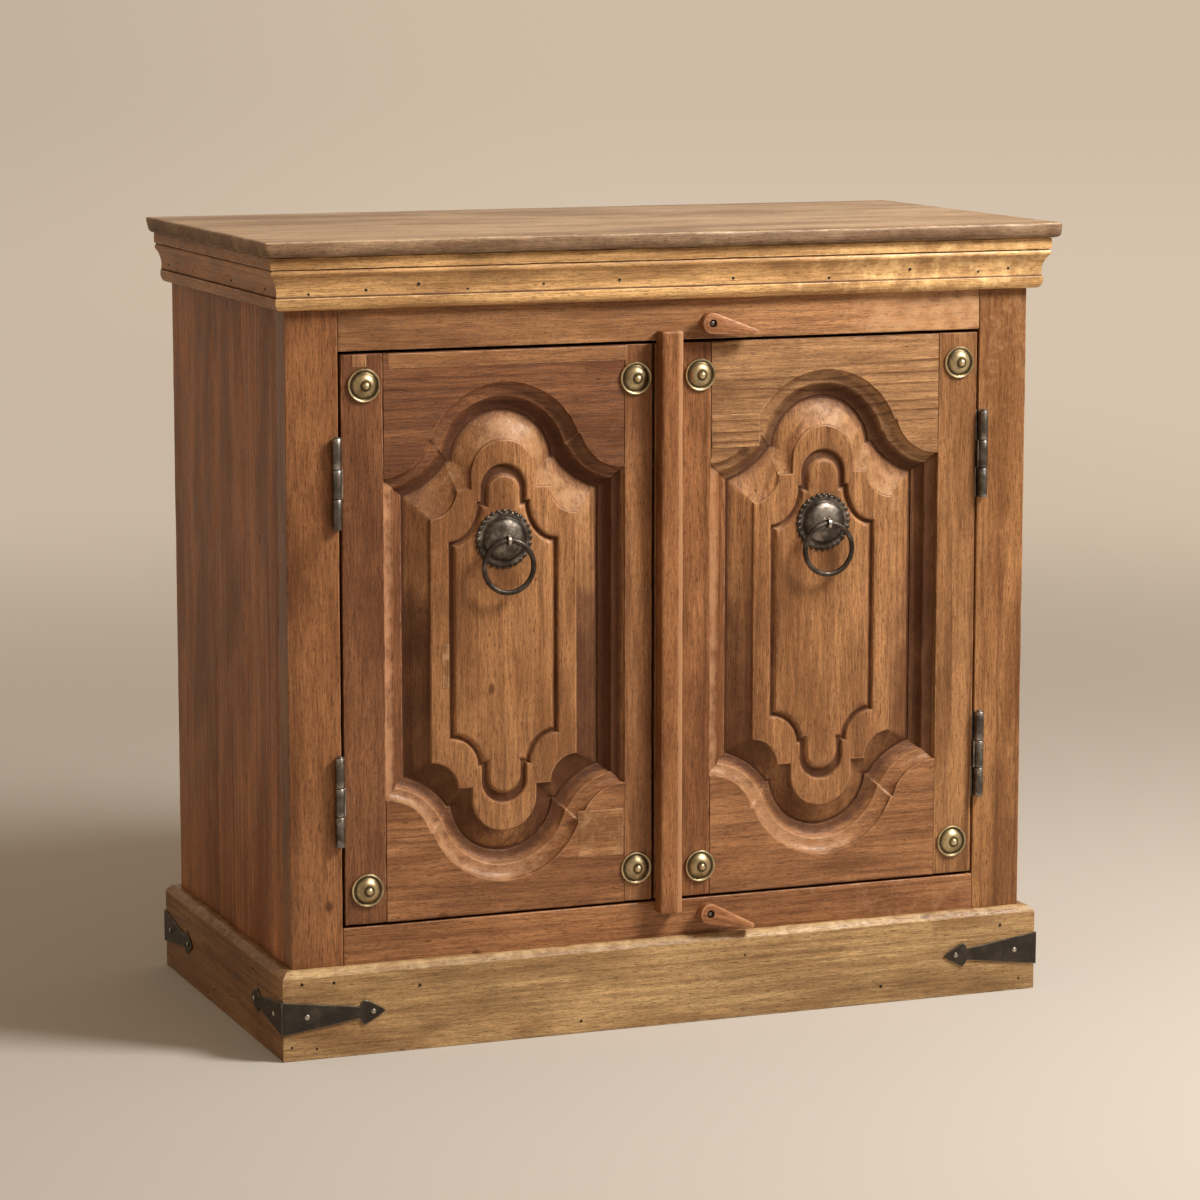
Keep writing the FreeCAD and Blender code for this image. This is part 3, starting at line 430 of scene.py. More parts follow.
def waver(points, size, seed):
    """Smooth values from -1 to 1 that change over about one size."""
    place = np.asarray(points, float) / size + 31.7 * seed
    cell = np.floor(place).astype(np.int64)
    part = place - cell
    part = part * part * (3 - 2 * part)
    total = np.zeros(len(place))
    for corner in np.ndindex(2, 2, 2):
        mix = np.bitwise_xor.reduce((cell + corner) * PRIMES, axis=1)
        for shift, factor in SCRAMBLE:
            mix = ((mix ^ (mix >> shift)) * factor) & 0x7FFFFFFF
        weight = np.prod(np.where(np.array(corner) == 1, part, 1 - part), axis=1)
        total += ((mix >> 8 & 0xFFFF) / 32767.5 - 1) * weight
    return total


def laid(points, along, seed):
    """The grain place of a board's points, from its own spot in the log."""
    order = [axis for axis in range(3) if axis != along] + [along]
    start = np.random.default_rng(seed).uniform(LOG_LOW, LOG_HIGH)
    middle = (points.min(0) + points.max(0)) / 2
    return (points - middle)[:, order] + start


def joined(*shapes):
    keys = ("points", "grain", "edge", "hollow")
    total = {key: np.concatenate([s[key] for s in shapes]) for key in keys}
    total["faces"] = []
    start = 0
    for s in shapes:
        total["faces"] += [tuple(start + corner for corner in face) for face in s["faces"]]
        start += len(s["points"])
    return total


def paler(shape, axis, start, end, most):
    """Marks wood that grows paler from start to end along an axis."""
    share = np.clip((shape["points"][:, axis] - start) / (end - start), 0, 1)
    shape["edge"] = np.maximum(shape["edge"], most * share)
    return shape


print("a waver", waver([(0, 0, 0), (5, 0, 0), (10, 0, 0)], 10, 1).round(3))

# %% [markdown]
# `dress` turns a shape into a finished piece: it merges the doubles, turns the faces
# outwards, lets age eat a little into the surface along its normals, and ties the piece to
# the body of the node that it stands for.

# %% Finished pieces
SHARP = math.radians(42)
body_of = {node: body for body, nodes in frame["record"]["behaviour"]["bodies"].items() for node in nodes}


def plain_mesh(name, shape):
    """A closed mesh of the shape with its marks, in metres."""
    mesh = bpy.data.meshes.new(name)
    mesh.from_pydata((np.asarray(shape["points"]) * MM).tolist(), [], shape["faces"])
    grain = mesh.attributes.new("grain", "FLOAT_VECTOR", "POINT")
    grain.data.foreach_set("vector", (shape["grain"] * MM).ravel())
    for key in ("edge", "hollow"):
        mark = mesh.attributes.new(key, "FLOAT", "POINT")
        mark.data.foreach_set("value", np.asarray(shape[key], float))
    work = bmesh.new()
    work.from_mesh(mesh)
    bmesh.ops.remove_doubles(work, verts=work.verts, dist=0.00001)
    bmesh.ops.triangulate(work, faces=[f for f in work.faces if len(f.verts) > 4])
    bmesh.ops.recalc_face_normals(work, faces=work.faces)
    work.to_mesh(mesh)
    work.free()
    return mesh


def aged(mesh, even, chips, seed):
    """Eats into a surface along its normals: a little everywhere, more on the corners."""
    count = len(mesh.vertices)
    place, normal, edge = np.zeros(count * 3), np.zeros(count * 3), np.zeros(count)
    mesh.vertices.foreach_get("co", place)
    mesh.vertex_normals.foreach_get("vector", normal)
    mesh.attributes["edge"].data.foreach_get("value", edge)
    place, normal = place.reshape(-1, 3) / MM, normal.reshape(-1, 3)
    chipped = np.clip(waver(place, 14, seed + 1) + 0.6 * waver(place, 5, seed + 2), 0, 1.5)
    depth = even * (0.5 + 0.5 * waver(place, 38, seed)) + chips * edge * chipped
    mesh.vertices.foreach_set("co", ((place - normal * depth[:, None]) * MM).ravel())


def finish_piece(name, mesh, finish, body, nodes=()):
    mesh.shade_smooth()
    mesh.set_sharp_from_angle(angle=SHARP)
    if not mesh.materials:
        mesh.materials.append(finish)
    made = placed(name, mesh)
    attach(made, body)
    if nodes:
        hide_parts(*nodes)
    return made


def dress(node, shape, finish, even=0.25, chips=0.5):
    """The finished piece that stands for one node."""
    mesh = plain_mesh(node + "_piece", shape)
    aged(mesh, even, chips, next(seeds))
    return finish_piece(node + "_piece", mesh, finish, body_of[node], [node])


# %% [markdown]
# ## Sawn boards
# Most of the carcass is plain boards with tired corners. Bevelling a box gives an even,
# machine-made corner. Here a fine lattice is pulled in to a corner radius that wavers along
# the board: the point is clamped to a smaller box and pushed back out by the radius.

# %% Sawn boards
def marks_along(low, high, soft, step):
    """Positions across a board: close together at the corners, wide apart on the flat."""
    steps_in = (0, 0.2 * soft, 0.5 * soft, soft, soft + 1.6, soft + 5)
    near = [d for d in steps_in if d < (high - low) * 0.4]
    count = max(1, round((high - low - 2 * near[-1]) / step))
    middle = np.linspace(low + near[-1], high - near[-1], count + 1)
    return np.array([*(low + d for d in near[:-1]), *middle, *(high - d for d in near[-2::-1])])


def lattice(lines):
    """The six faces of a box as grids of points between the lines along each axis."""
    points, faces = [], []
    for axis in range(3):
        u, v = (axis + 1) % 3, (axis + 2) % 3
        for end in (0, -1):
            start, wide = len(points), len(lines[v])
            for a in lines[u]:
                for b in lines[v]:
                    spot = [0.0, 0.0, 0.0]
                    spot[axis], spot[u], spot[v] = lines[axis][end], a, b
                    points.append(spot)
            for i in range(len(lines[u]) - 1):
                for j in range(wide - 1):
                    first = start + i * wide + j
                    faces.append((first, first + 1, first + wide + 1, first + wide))
    return np.array(points), faces


def sawn_board(low, high, along, soft=1.6, step=24, low_soft=None, worn_spots=()):
    """A board between two corners. low_soft is another radius for its lower half."""
    seed = next(seeds)
    low, high = np.array(low, float), np.array(high, float)
    widest = soft if low_soft is None else low_soft
    points, faces = lattice([marks_along(a, b, widest, step) for a, b in zip(low, high)])
    radius = np.full(len(points), float(soft))
    if low_soft is not None:
        radius[points[:, 2] < (low[2] + high[2]) / 2] = low_soft
    radius *= 1 + 0.35 * waver(points, 60, seed) + 0.3 * waver(points, 13, seed + 5)
    for spot, reach, more in worn_spots:
        radius += more * np.exp(-((points - spot) ** 2).sum(1) / reach ** 2)
    radius = np.clip(radius, 0.3, 0.46 * (high - low).min())[:, None]
    core = np.clip(points, low + radius, high - radius)
    away = points - core
    rounded = core + away * (radius / np.linalg.norm(away, axis=1, keepdims=True))
    from_faces = np.sort(np.minimum(points - low, high - points), axis=1)
    from_ends = np.minimum(points[:, along] - low[along], high[along] - points[:, along])
    return {"points": rounded, "faces": faces, "grain": laid(points, along, seed),
            "edge": np.clip(1 - from_faces[:, 1] / (soft + 3), 0, 1),
            "hollow": 0.45 * np.exp(-from_ends / 9)}


print("marks along a 100 mm board", marks_along(0, 100, 1.6, 24).round(1))

# %% [markdown]
# Each solid of a CAD node becomes one board. The boards of the sides and the back have
# shrunk apart, so a loose tongue in each joint keeps light and dust out.

# %% Boards from the frame
TONGUE_THICK, TONGUE_IN, TONGUE_SHORT = 4, 5, 4


def islands(node):
    """The corners of each separate solid in a CAD node, in millimetres."""
    work = bmesh.new()
    work.from_mesh(frame["nodes"][node].data)
    bmesh.ops.remove_doubles(work, verts=work.verts, dist=0.00001)
    left, boxes = set(work.verts), []
    while left:
        todo, seen = [left.pop()], []
        while todo:
            vert = todo.pop()
            seen.append(vert)
            for line in vert.link_edges:
                other = line.other_vert(vert)
                if other in left:
                    left.discard(other)
                    todo.append(other)
        spots = np.array([v.co for v in seen]) / MM
        boxes.append((spots.min(0), spots.max(0)))
    work.free()
    return sorted(boxes, key=lambda box: tuple(box[0].round(2)))


def boards(node, finish, along, soft=1.6, across=None, pale=None):
    """One board for each solid. Boards side by side across an axis get tongues."""
    boxes = islands(node)
    shapes = [sawn_board(low, high, along, soft) for low, high in boxes]
    if across is not None:
        thick = 1 - across
        boxes.sort(key=lambda box: box[0][across])
        for (low, high), (next_low, _) in zip(boxes, boxes[1:]):
            middle = (low[thick] + high[thick]) / 2
            start, end = low + TONGUE_SHORT, high - TONGUE_SHORT
            start[across], end[across] = high[across] - TONGUE_IN, next_low[across] + TONGUE_IN
            start[thick], end[thick] = middle - TONGUE_THICK / 2, middle + TONGUE_THICK / 2
            shapes.append(sawn_board(start, end, along, 0.3))
    shape = joined(*shapes)
    return dress(node, paler(shape, *pale) if pale else shape, finish)


print("boards of the left side", len(islands("left_side_boards")))

# %% [markdown]
# The right stile is paled towards its top and the front rails towards their right ends: a
# painted highlight where the lamp on the right falls strongest.

# %% Carcass boards
# Painted highlight: paler towards the lamp on the upper right.
right_stile_lit = (UP, 400, 760, 0.7)
top_rail_lit, bottom_rail_lit = (ACROSS, 20, 280, 0.95), (ACROSS, -50, 250, 0.68)
for side, finish, pale in (("left", brown_wood, None), ("right", right_stile_wood, right_stile_lit)):
    boards(side + "_front_stile", finish, UP, pale=pale)
    boards(side + "_side_boards", side_wood, UP, 1.2, across=BACK)
    boards(side + "_rear_post", inner_wood, UP)
boards("top_front_rail", golden_wood, ACROSS, pale=top_rail_lit)
boards("bottom_front_rail", right_door_wood, ACROSS, pale=bottom_rail_lit)
boards("back_boards", inner_wood, UP, 1.2, across=ACROSS)
boards("bottom_board", inner_wood, ACROSS)
for node in ("bottom_cleats", "shelf_cleats"):
    boards(node, inner_wood, BACK)
for node in ("top_battens", "door_stop"):
    boards(node, inner_wood, ACROSS)

# %% [markdown]
# ## Top board
# The top is a thin old board whose lower corners are rounded over. Its front corner is worn
# low in a few places, most of all right of the middle, so those spots get a larger radius.
# Below the upper corner the edge is darker.

# %% Top board
worn_low = ((95, 60, 3.5), (215, 75, 4.5), (330, 40, 2.0), (-310, 35, 1.5), (-60, 30, 1.2),
            (420, 25, 2.5))
low, high = islands("top_board")[0]
spots = [(np.array((x, low[1], high[2])), reach, more) for x, reach, more in worn_low]
top_shape = sawn_board(low, high, ACROSS, 2.2, 16, low_soft=8.2, worn_spots=spots)
below_corner = np.clip((high[2] - 2 - top_shape["points"][:, 2]) / 3, 0, 1)
top_shape["hollow"] = np.maximum(top_shape["hollow"], 0.58 * below_corner)
dress("top_board", top_shape, top_wood, even=0.5)
print("top board", (high - low).round(1))

# %% [markdown]
# ## Lofts
# Mouldings, rails and panels are lofts: one ring of points after another, with faces
# between. A corner of a section is first softened into three points, which carry the wear
# marks: an outer corner gets "edge" and an inner one "hollow".

# %% Softened sections
def arc_to(start, end, bow, count=7):
    """Points after start, up to end, on an arc that bows to the left of its way."""
    start, end = np.array(start, float), np.array(end, float)
    span = np.linalg.norm(end - start)
    left = np.array((-(end - start)[1], (end - start)[0])) / span
    share = np.arange(1, count + 1) / count
    return [tuple(start + (end - start) * s + left * bow * 4 * s * (1 - s)) for s in share]


def softened(points, soft, closed=True, fade=3.5):
    """A section, its inside on the left of its way, as rows of (u, v, edge, hollow)."""
    rows = []
    count = len(points)
    points = [np.array(p, float) for p in points]
    for index, here in enumerate(points):
        before, after = points[index - 1], points[(index + 1) % count]
        if not closed and index in (0, count - 1):
            rows.append((*here, 0, 0))
            continue
        come, go = here - before, after - here
        reach_in, reach_out = np.linalg.norm(come), np.linalg.norm(go)
        come, go = come / reach_in, go / reach_out
        turn = math.atan2(come[0] * go[1] - come[1] * go[0], come @ go)
        edge, hollow = min(1, max(0, turn / 0.9)), min(1, max(0, -turn / 0.9))
        if abs(turn) < 0.3:
            rows.append((*here, edge, hollow))
            continue
        cut_in, cut_out = min(soft, 0.42 * reach_in), min(soft, 0.42 * reach_out)
        if reach_in > 3 * fade:
            rows.append((*(here - come * fade), 0.12 * edge, 0.25 * hollow))
        first, last = here - come * cut_in, here + go * cut_out
        rows.append((*first, 0.75 * edge, 0.8 * hollow))
        rows.append((*(0.25 * first + 0.5 * here + 0.25 * last), edge, hollow))
        rows.append((*last, 0.75 * edge, 0.8 * hollow))
        if reach_out > 3 * fade:
            rows.append((*(here + go * fade), 0.12 * edge, 0.25 * hollow))
    return np.array(rows)


print("a softened square", len(softened([(0, 0), (20, 0), (20, 20), (0, 20)], 1)), "points")

# %% [markdown]
# A loft takes its rings as one array. Often a ring is an outline at a height with marks of
# its own, and `ringed` makes the loft from a list of such rows.

# %% Lofts
def loft(rings, edge, hollow, along, capped=True):
    """Faces between rings of points, an array (rings, points, 3)."""
    rings = np.asarray(rings, float)
    count, wide, _ = rings.shape
    faces = []
    for i in range(count - 1):
        for j in range(wide):
            k = (j + 1) % wide
            faces.append((i * wide + j, i * wide + k, (i + 1) * wide + k, (i + 1) * wide + j))
    if capped:
        faces += [tuple(range(wide - 1, -1, -1)), tuple(range((count - 1) * wide, count * wide))]
    points = rings.reshape(-1, 3)
    edge, hollow = [np.broadcast_to(mark, (count, wide)).reshape(-1) for mark in (edge, hollow)]
    return {"points": points, "faces": faces, "grain": laid(points, along, next(seeds)),
            "edge": edge, "hollow": hollow}


def ringed(rows, place, along, axis=0):
    """A loft of rows (outline, height, edge, hollow). place sets an outline in space."""
    rows = [(np.asarray(outline, float), *others) for outline, *others in rows]
    rings = np.stack([place(row[0], row[1]) for row in rows], axis=axis)
    edge, hollow = [np.stack([np.broadcast_to(row[key], len(row[0])) for row in rows], axis=axis)
                    for key in (2, 3)]
    return loft(rings, edge, hollow, along)


print("loft helpers ready")

# %% [markdown]
# ## Cornice and plinth
# Both are moulded lengths run along the front and the sides and mitred at the corners. On a
# mitred length each point of the section starts and ends further out the more it reaches
# out, so the mitre comes by itself when the ends move with the reach. The front cornice is
# paled towards the right as a painted highlight, and the plinth along its top chamfer as a
# painted highlight.

# %% Cornice and plinth
carcass_half, face_y, back_y, plinth_out = 445.0, -219.4, 230.6, 15
plinth_half = carcass_half + plinth_out
SECTION_SOFT, SECTION_STEP = 1.3, 18
cornice_section = [
    (0, 824), (8.5, 824), *arc_to((8.5, 824), (13.5, 833), -1.2), (13.5, 838), (12.3, 838),
    *arc_to((12.3, 838), (17.6, 861), 2.4, 9), *arc_to((17.6, 861), (17.6, 869), -2.4),
    (20.5, 869), (20.5, 882), (0, 882)]
plinth_section = [(0, 0), (plinth_out, 0), (plinth_out, 93), (8, 100), (0, 100)]


def moulded_length(section, side, rear_mitre):
    """A length on one side of the carcass: front, back, left or right."""
    rows = softened(section, SECTION_SOFT)
    reach, height = rows[:, 0], rows[:, 1]
    if side in ("front", "back"):
        starts, ends, along = -carcass_half - reach, carcass_half + reach, ACROSS
    else:
        starts, ends, along = face_y - reach, back_y + (reach if rear_mitre else 0 * reach), BACK
    shares = np.linspace(0, 1, round((ends - starts).max() / SECTION_STEP) + 1)[:, None]
    run = starts + (ends - starts) * shares
    out, up = np.broadcast_to(reach, run.shape), np.broadcast_to(height, run.shape)
    axes = {"front": (run, face_y - out, up), "back": (run, back_y + out, up),
            "left": (-(carcass_half + out), run, up), "right": (carcass_half + out, run, up)}[side]
    return loft(np.stack(axes, axis=-1), rows[:, 2], rows[:, 3], along)


for side in ("front", "left", "right"):
    shape = moulded_length(cornice_section, side, rear_mitre=False)
    finish = cornice_end_shaded_wood
    if side == "front":
        # Painted highlight: the front cornice grows paler towards the lamp on the right.
        shape, finish = paler(shape, ACROSS, -50, 250, 0.8), cornice_wood
    dress("cornice_" + side, shape, finish, even=0.4, chips=0.7)
for side in ("front", "left", "right", "back"):
    # Painted highlight along the plinth's upward top chamfer.
    shape = paler(moulded_length(plinth_section, side, rear_mitre=True), UP, 92, 95, 0.85)
    finish = plinth_wood if side == "front" else plinth_end_shaded_wood
    dress("plinth_" + side, shape, finish, even=0.4, chips=0.9)
print("points in the plinth's section", len(softened(plinth_section, SECTION_SOFT)))

# %% [markdown]
# ## Outlines of the doors
# Each door has an opening with a crown arch between two rounded ears, top and bottom, and a
# small ledge where arch and ear meet. The field on the panel has a bump between two notches.
# Each is drawn as right quarters and mirrored, with as many points each, so that a bevel can
# run between them. The carver's arch is wider than the moulding on the stiles, so the
# opening is drawn for a share of the moulding's width.

# %% Door outlines
door_face, door_middle, door_half, door_thick = -219.8, 459.5, 315.5, 34
panel_x, seam_half, moulding_width = 193.05, 141.05, 25.5
EAR_POINTS, ARCH_POINTS, LEDGE_POINTS = 26, 34, 3


def arc_points(centre, reach, start, end, count):
    """Points on an arc. reach is a radius, or one along each axis."""
    reach = np.broadcast_to(reach, 2)
    angles = np.linspace(start, end, count)
    return np.stack([centre[0] + reach[0] * np.cos(angles), centre[1] + reach[1] * np.sin(angles)], axis=-1)


def opening_quarter(width):
    """From the mitre at the stile, round the ear, over the ledge and up the arch to its crown."""
    share = width / moulding_width
    ear_reach = 54 + 39 * share
    ear_middle = 178.5 - 24.5 * share + ear_reach
    arch_reach, arch_middle = 91.5 - 30.5 * share, 187.5
    ledge = 219 - 25 * share
    start = -math.pi / 2 - math.asin(max(width, 0) / ear_reach)
    end = math.asin((ear_middle - ledge) / ear_reach) - math.pi
    ear = arc_points((seam_half, ear_middle), ear_reach, start, end, EAR_POINTS)
    lean = math.asin((ledge - arch_middle) / arch_reach)
    arch = arc_points((0, arch_middle), arch_reach, lean, math.pi / 2, ARCH_POINTS)
    return np.concatenate([ear, np.linspace(ear[-1], arch[0], LEDGE_POINTS + 2)[1:-1], arch])


def cusped_quarter(half_width, bump, shoulder, end, inset):
    """Hollow shoulder, notch and bump of a raised shape, drawn in by an inset.

    end is its crown, its notch and its shoulder's height, from the panel's middle.
    """
    crown, notch, height = end
    start = -math.pi / 2 - math.asin(inset / (shoulder + inset))
    finish = math.asin(inset / (height + inset)) - math.pi
    hollow = arc_points((half_width, notch), (shoulder + inset, height + inset), start, finish, EAR_POINTS)
    foot = np.array([[bump - inset, notch - inset]])
    top = arc_points((0, crown - bump), bump - inset, 0, math.pi / 2, ARCH_POINTS + LEDGE_POINTS - 1)
    return np.concatenate([hollow, foot, top])


print("points in the opening's quarter", len(opening_quarter(0)))

# %% [markdown]
# Quarters are mirrored to a whole outline, with points up the straight sides, and laid on
# the door at a depth behind its face.

# %% Whole outlines
def with_side(quarter, count=16):
    """A quarter outline with points up its straight side."""
    x, top = quarter[0]
    heights = top * (np.arange(count) + 0.5) / count
    return np.concatenate([np.stack([np.full(count, x), heights], axis=-1), quarter])


def mirrored(quarter):
    """A quarter and its mirror image to the left."""
    return np.concatenate([quarter, (quarter * (-1, 1))[-2::-1]])


def whole(upper, lower):
    """The closed outline of an upper and a lower quarter."""
    above, below = [mirrored(with_side(quarter)) for quarter in (upper, lower)]
    return np.concatenate([above, (below * (1, -1))[::-1]])


def on_door(sign):
    """Sets points (x, z) about the panel's middle at a depth behind the door's face."""
    def place(outline, depth):
        return np.column_stack([sign * panel_x + outline[:, 0], np.full(len(outline), door_face + depth),
                                door_middle + outline[:, 1]])
    return place


print("points in the whole opening", len(whole(opening_quarter(0), opening_quarter(0))))

# %% [markdown]
# ## Raised panels
# A carver sinks the ground, slopes the bevel up to the field and cuts a groove round the
# inner plate. As a loft the panel is a list of rings from its hidden edge to the plate,
# each with a depth and its marks. The bevels that face up are paled, a painted sheen with
# some scuffs, and those that face down or to the sides are darkened as painted shade,
# more towards the ground.

# %% Raised panels
GROUND, CREST, FIELD, GROOVE = 20, 8.6, 6, 10.6
PLATE_DROP = 6


def opening(width):
    return whole(opening_quarter(width), opening_quarter(width))


def field(inset):
    ends = ((215.5, 161.5, 31), (224, 173, 31))
    return whole(*[cusped_quarter(half_width=86.05, bump=38, shoulder=31, end=end, inset=inset)
                   for end in ends])


def plate(inset, drop=0):
    """The inner plate. drop lowers its crown, for the groove's inner wall."""
    ends = ((188 - drop, 147, 43), (192.5 - drop, 149.5, 33))
    bump = 26.5 - 0.3 * drop
    return whole(*[cusped_quarter(half_width=64.05, bump=bump, shoulder=33.5, end=end, inset=inset)
                   for end in ends])


def bevel_rows(left_shade, right_shade):
    """Rings from the ground up to the field, with painted sheen on those that face up and painted shade on
    the others.
    """
    foot, crest = opening(27.5), field(0)
    way = (foot - crest) / np.linalg.norm(foot - crest, axis=1, keepdims=True)
    # Painted shade by where each bevel faces, less on those facing up; painted sheen with scuffs on those
    # facing up.
    painted_shade = np.maximum(-way, 0) @ (left_shade, 0.3) + np.maximum(way, 0) @ (right_shade, -0.6)
    scuffs_and_sheen = np.clip(0.95 * way[:, 1] + 0.25 * way[:, 0], 0, 1)
    rows = [(foot, GROUND, 0, 1)]
    for share in (0.05, 0.16, 0.32, 0.5, 0.68, 0.84, 0.95):
        depth = GROUND - (GROUND - CREST) * (1 - (1 - share) ** 1.1)
        # Painted shade, darker still towards the ground.
        shade_and_grime = np.maximum(np.clip(painted_shade, 0, 1), 0.7 * (1 - share) ** 3)
        rows.append((foot + (crest - foot) * share, depth, scuffs_and_sheen * min(1, 3 * share), shade_and_grime))
    return rows


def carved_panel(sign, left_shade, right_shade):
    hidden = opening(19.5)
    rows = [(hidden, door_thick, 0, 0), (hidden, GROUND, 0, 0.5), (opening(25.9), GROUND, 0, 1),
            *bevel_rows(left_shade, right_shade)]
    rows += [(field(inset), depth, edge, hollow) for inset, depth, edge, hollow in (
        (-0.4, CREST, 0, 0.55), (0, 8.2, 0.1, 0.3), (0.2, 6.9, 0.8, 0), (0.9, 6.15, 1, 0),
        (1.9, FIELD, 0.5, 0), (5, FIELD, 0, 0))]
    rows += [(plate(inset), depth, edge, hollow) for inset, depth, edge, hollow in (
        (-4, FIELD, 0, 0.1), (-1.0, FIELD, 0.6, 0.1), (-0.2, 6.6, 0.7, 0.2), (0.6, 9.6, 0, 0.6),
        (1.4, GROOVE, 0, 0.8))]
    rows += [(plate(inset, PLATE_DROP), depth, edge, hollow) for inset, depth, edge, hollow in (
        (3.4, GROOVE, 0, 0.8), (4.6, 9.8, 0, 0.6), (6.0, 8.2, 0, 0.25), (7.4, 6.6, 0.7, 0),
        (8.4, 6.05, 0.7, 0), (10.4, FIELD, 0.05, 0), (14, FIELD, 0, 0))]
    return ringed(rows, on_door(sign), UP)


# How strong the painted shade is on the left and right bevels of each door.
painted_shade_on = {"left": (0.78, 0.8), "right": (0.6, 0.5)}
for side, sign in SIDES:
    shape = carved_panel(sign, *painted_shade_on[side])
    made = dress(side + "_door_panel", shape, panel_wood, even=0.45, chips=0.8)
    print(made.name, len(made.data.polygons), "faces")

# %% [markdown]
# ## Arched rails
# A rail is one thick board, hollowed by the arch and moulded along it with two hollows and
# a fillet. At each step along the arch, one ring runs from the rail's outer edge over the
# face, down the moulding, round the rebate and back along the inside. First comes the
# rail's outer edge, with as many points as the arch.

# %% The moulding and the rail's edge
moulding = [
    (0, 0), (0, 1.5), *arc_to((0, 1.5), (12.2, 9), 2.6, 6), (13, 9),
    *arc_to((13, 9), (moulding_width, 18.5), 2.6, 6), (moulding_width, GROUND), (17.5, GROUND),
    (17.5, door_thick)]
FLAT, MOULDING_SOFT = 1.4, 0.9


def arch_path(width):
    return mirrored(opening_quarter(width))


def rail_rim():
    """Points up the rail's end and along its outer edge, one for each of the arch."""
    start = opening_quarter(0)[0, 1]
    count = len(opening_quarter(0))
    up = np.column_stack([np.full(EAR_POINTS, seam_half), np.linspace(start, door_half, EAR_POINTS)])
    along = np.linspace(seam_half, 0, count - EAR_POINTS)
    return mirrored(np.concatenate([up, np.column_stack([along, np.full(len(along), door_half)])]))


print("points along an arch", len(arch_path(0)), "and its rim", len(rail_rim()))

# %% [markdown]
# The parts of the moulding that face up and to the right are paled as a painted highlight,
# and the rest is darkened as painted shade, most in the depth and most on the right door.
# The ledges are rubbed palest, most on the lower rails. The left door's top rail has a pale
# streak towards the meeting.

# %% Arched rails
def arched_rail(sign, upward):
    base, rim = arch_path(0), rail_rim()
    way = base - rim
    way = way / np.maximum(np.linalg.norm(way, axis=1, keepdims=True), 1)
    rows = [(rim, door_thick, 0, 0), (rim, 0.9, 0.3, 0.7), (rim + way * 0.9, 0, 0.35, 0.55),
            (rim + way * 3.4, 0, 0, 0.12), (arch_path(-5), 0, 0.05, 0), (arch_path(-FLAT), 0, 0.6, 0)]
    inward = (arch_path(moulding_width) - base) * (1, upward)
    inward = inward / np.linalg.norm(inward, axis=1, keepdims=True)
    # Painted shade by where each part faces, stronger on the right door; painted highlight on parts facing up
    # and to the right.
    painted_shade = (0.3 - 0.45 * inward[:, 0] - 0.3 * inward[:, 1]) * (1.0 if sign < 0 else 1.45)
    light = np.clip(0.55 * inward[:, 0] + 0.95 * inward[:, 1], 0, 0.95)
    for ledge in (slice(EAR_POINTS - 1, EAR_POINTS + 4), slice(-EAR_POINTS - 4, -EAR_POINTS + 1)):
        light[ledge] = 1.1 if upward < 0 else 0.8
    for width, depth, edge, hollow in softened([(-FLAT, 0), *moulding], MOULDING_SOFT, closed=False)[1:]:
        rubbed_and_lit = light * np.clip((17 - depth) / 6, 0.25, 1) * (depth < 19)
        # The deep part of the moulding is darkened: painted shade.
        foot = 0.75 * np.clip((depth - 11) / 6, 0, 1)
        shade_in_depth = np.clip(painted_shade, 0.1, 1) * np.clip((depth - 2) / 14, 0, 1)
        dark = np.maximum(np.maximum(hollow, foot), shade_in_depth)
        rows.append((arch_path(width), depth, np.maximum(edge, rubbed_and_lit), dark))
    place = on_door(sign)
    return ringed(rows, lambda outline, depth: place(outline * (1, upward), depth), ACROSS, axis=1)


for side, sign in SIDES:
    for where, upward in (("top", 1), ("bottom", -1)):
        shape, finish = arched_rail(sign, upward), right_door_wood
        if where == "top":
            finish = left_door_wood if side == "left" else amber_wood
        if (side, where) == ("left", "top"):
            paler(shape, ACROSS, -190, -100, 0.5)
        dress(f"{side}_door_{where}_rail", shape, finish, even=0.35, chips=1.0)
print("points in a rail", len(shape["points"]))

# %% [markdown]
# ## Stiles
# A stile is a sawn board with a strip of the same moulding on its inner edge. The strip
# ends where the rails' ears begin, so its ends follow the opening's corner at each width.
# The mouldings that face right are paled as a painted highlight, and the others are darkened as painted
# shade, most on the left door.

# %% Stiles
def moulded_strip(seam_x, inward):
    section = softened([(0, door_thick), *moulding[1:]], MOULDING_SOFT)
    width, depth, edge, hollow = section.T
    top = np.array([opening_quarter(w)[0, 1] for w in width])
    up = door_middle + top * np.linspace(-1, 1, 41)[:, None]
    rings = np.stack([np.broadcast_to(seam_x + inward * width, up.shape),
                      np.broadcast_to(door_face + depth, up.shape), up], axis=-1)
    # Painted highlight on mouldings facing right, painted shade on those facing left.
    if inward > 0:
        rubbed_and_lit = 1.0 - 0.65 * np.clip((width - 11) / 3, 0, 1)
        edge, dark = np.maximum(edge, rubbed_and_lit * ((depth < 19) & (width > 0))), 0.1
    else:
        dark = 1.0 if seam_x < 0 else 0.75
    return loft(rings, edge, np.maximum(hollow, dark * np.clip((depth - 1) / 8, 0, 1)), UP)


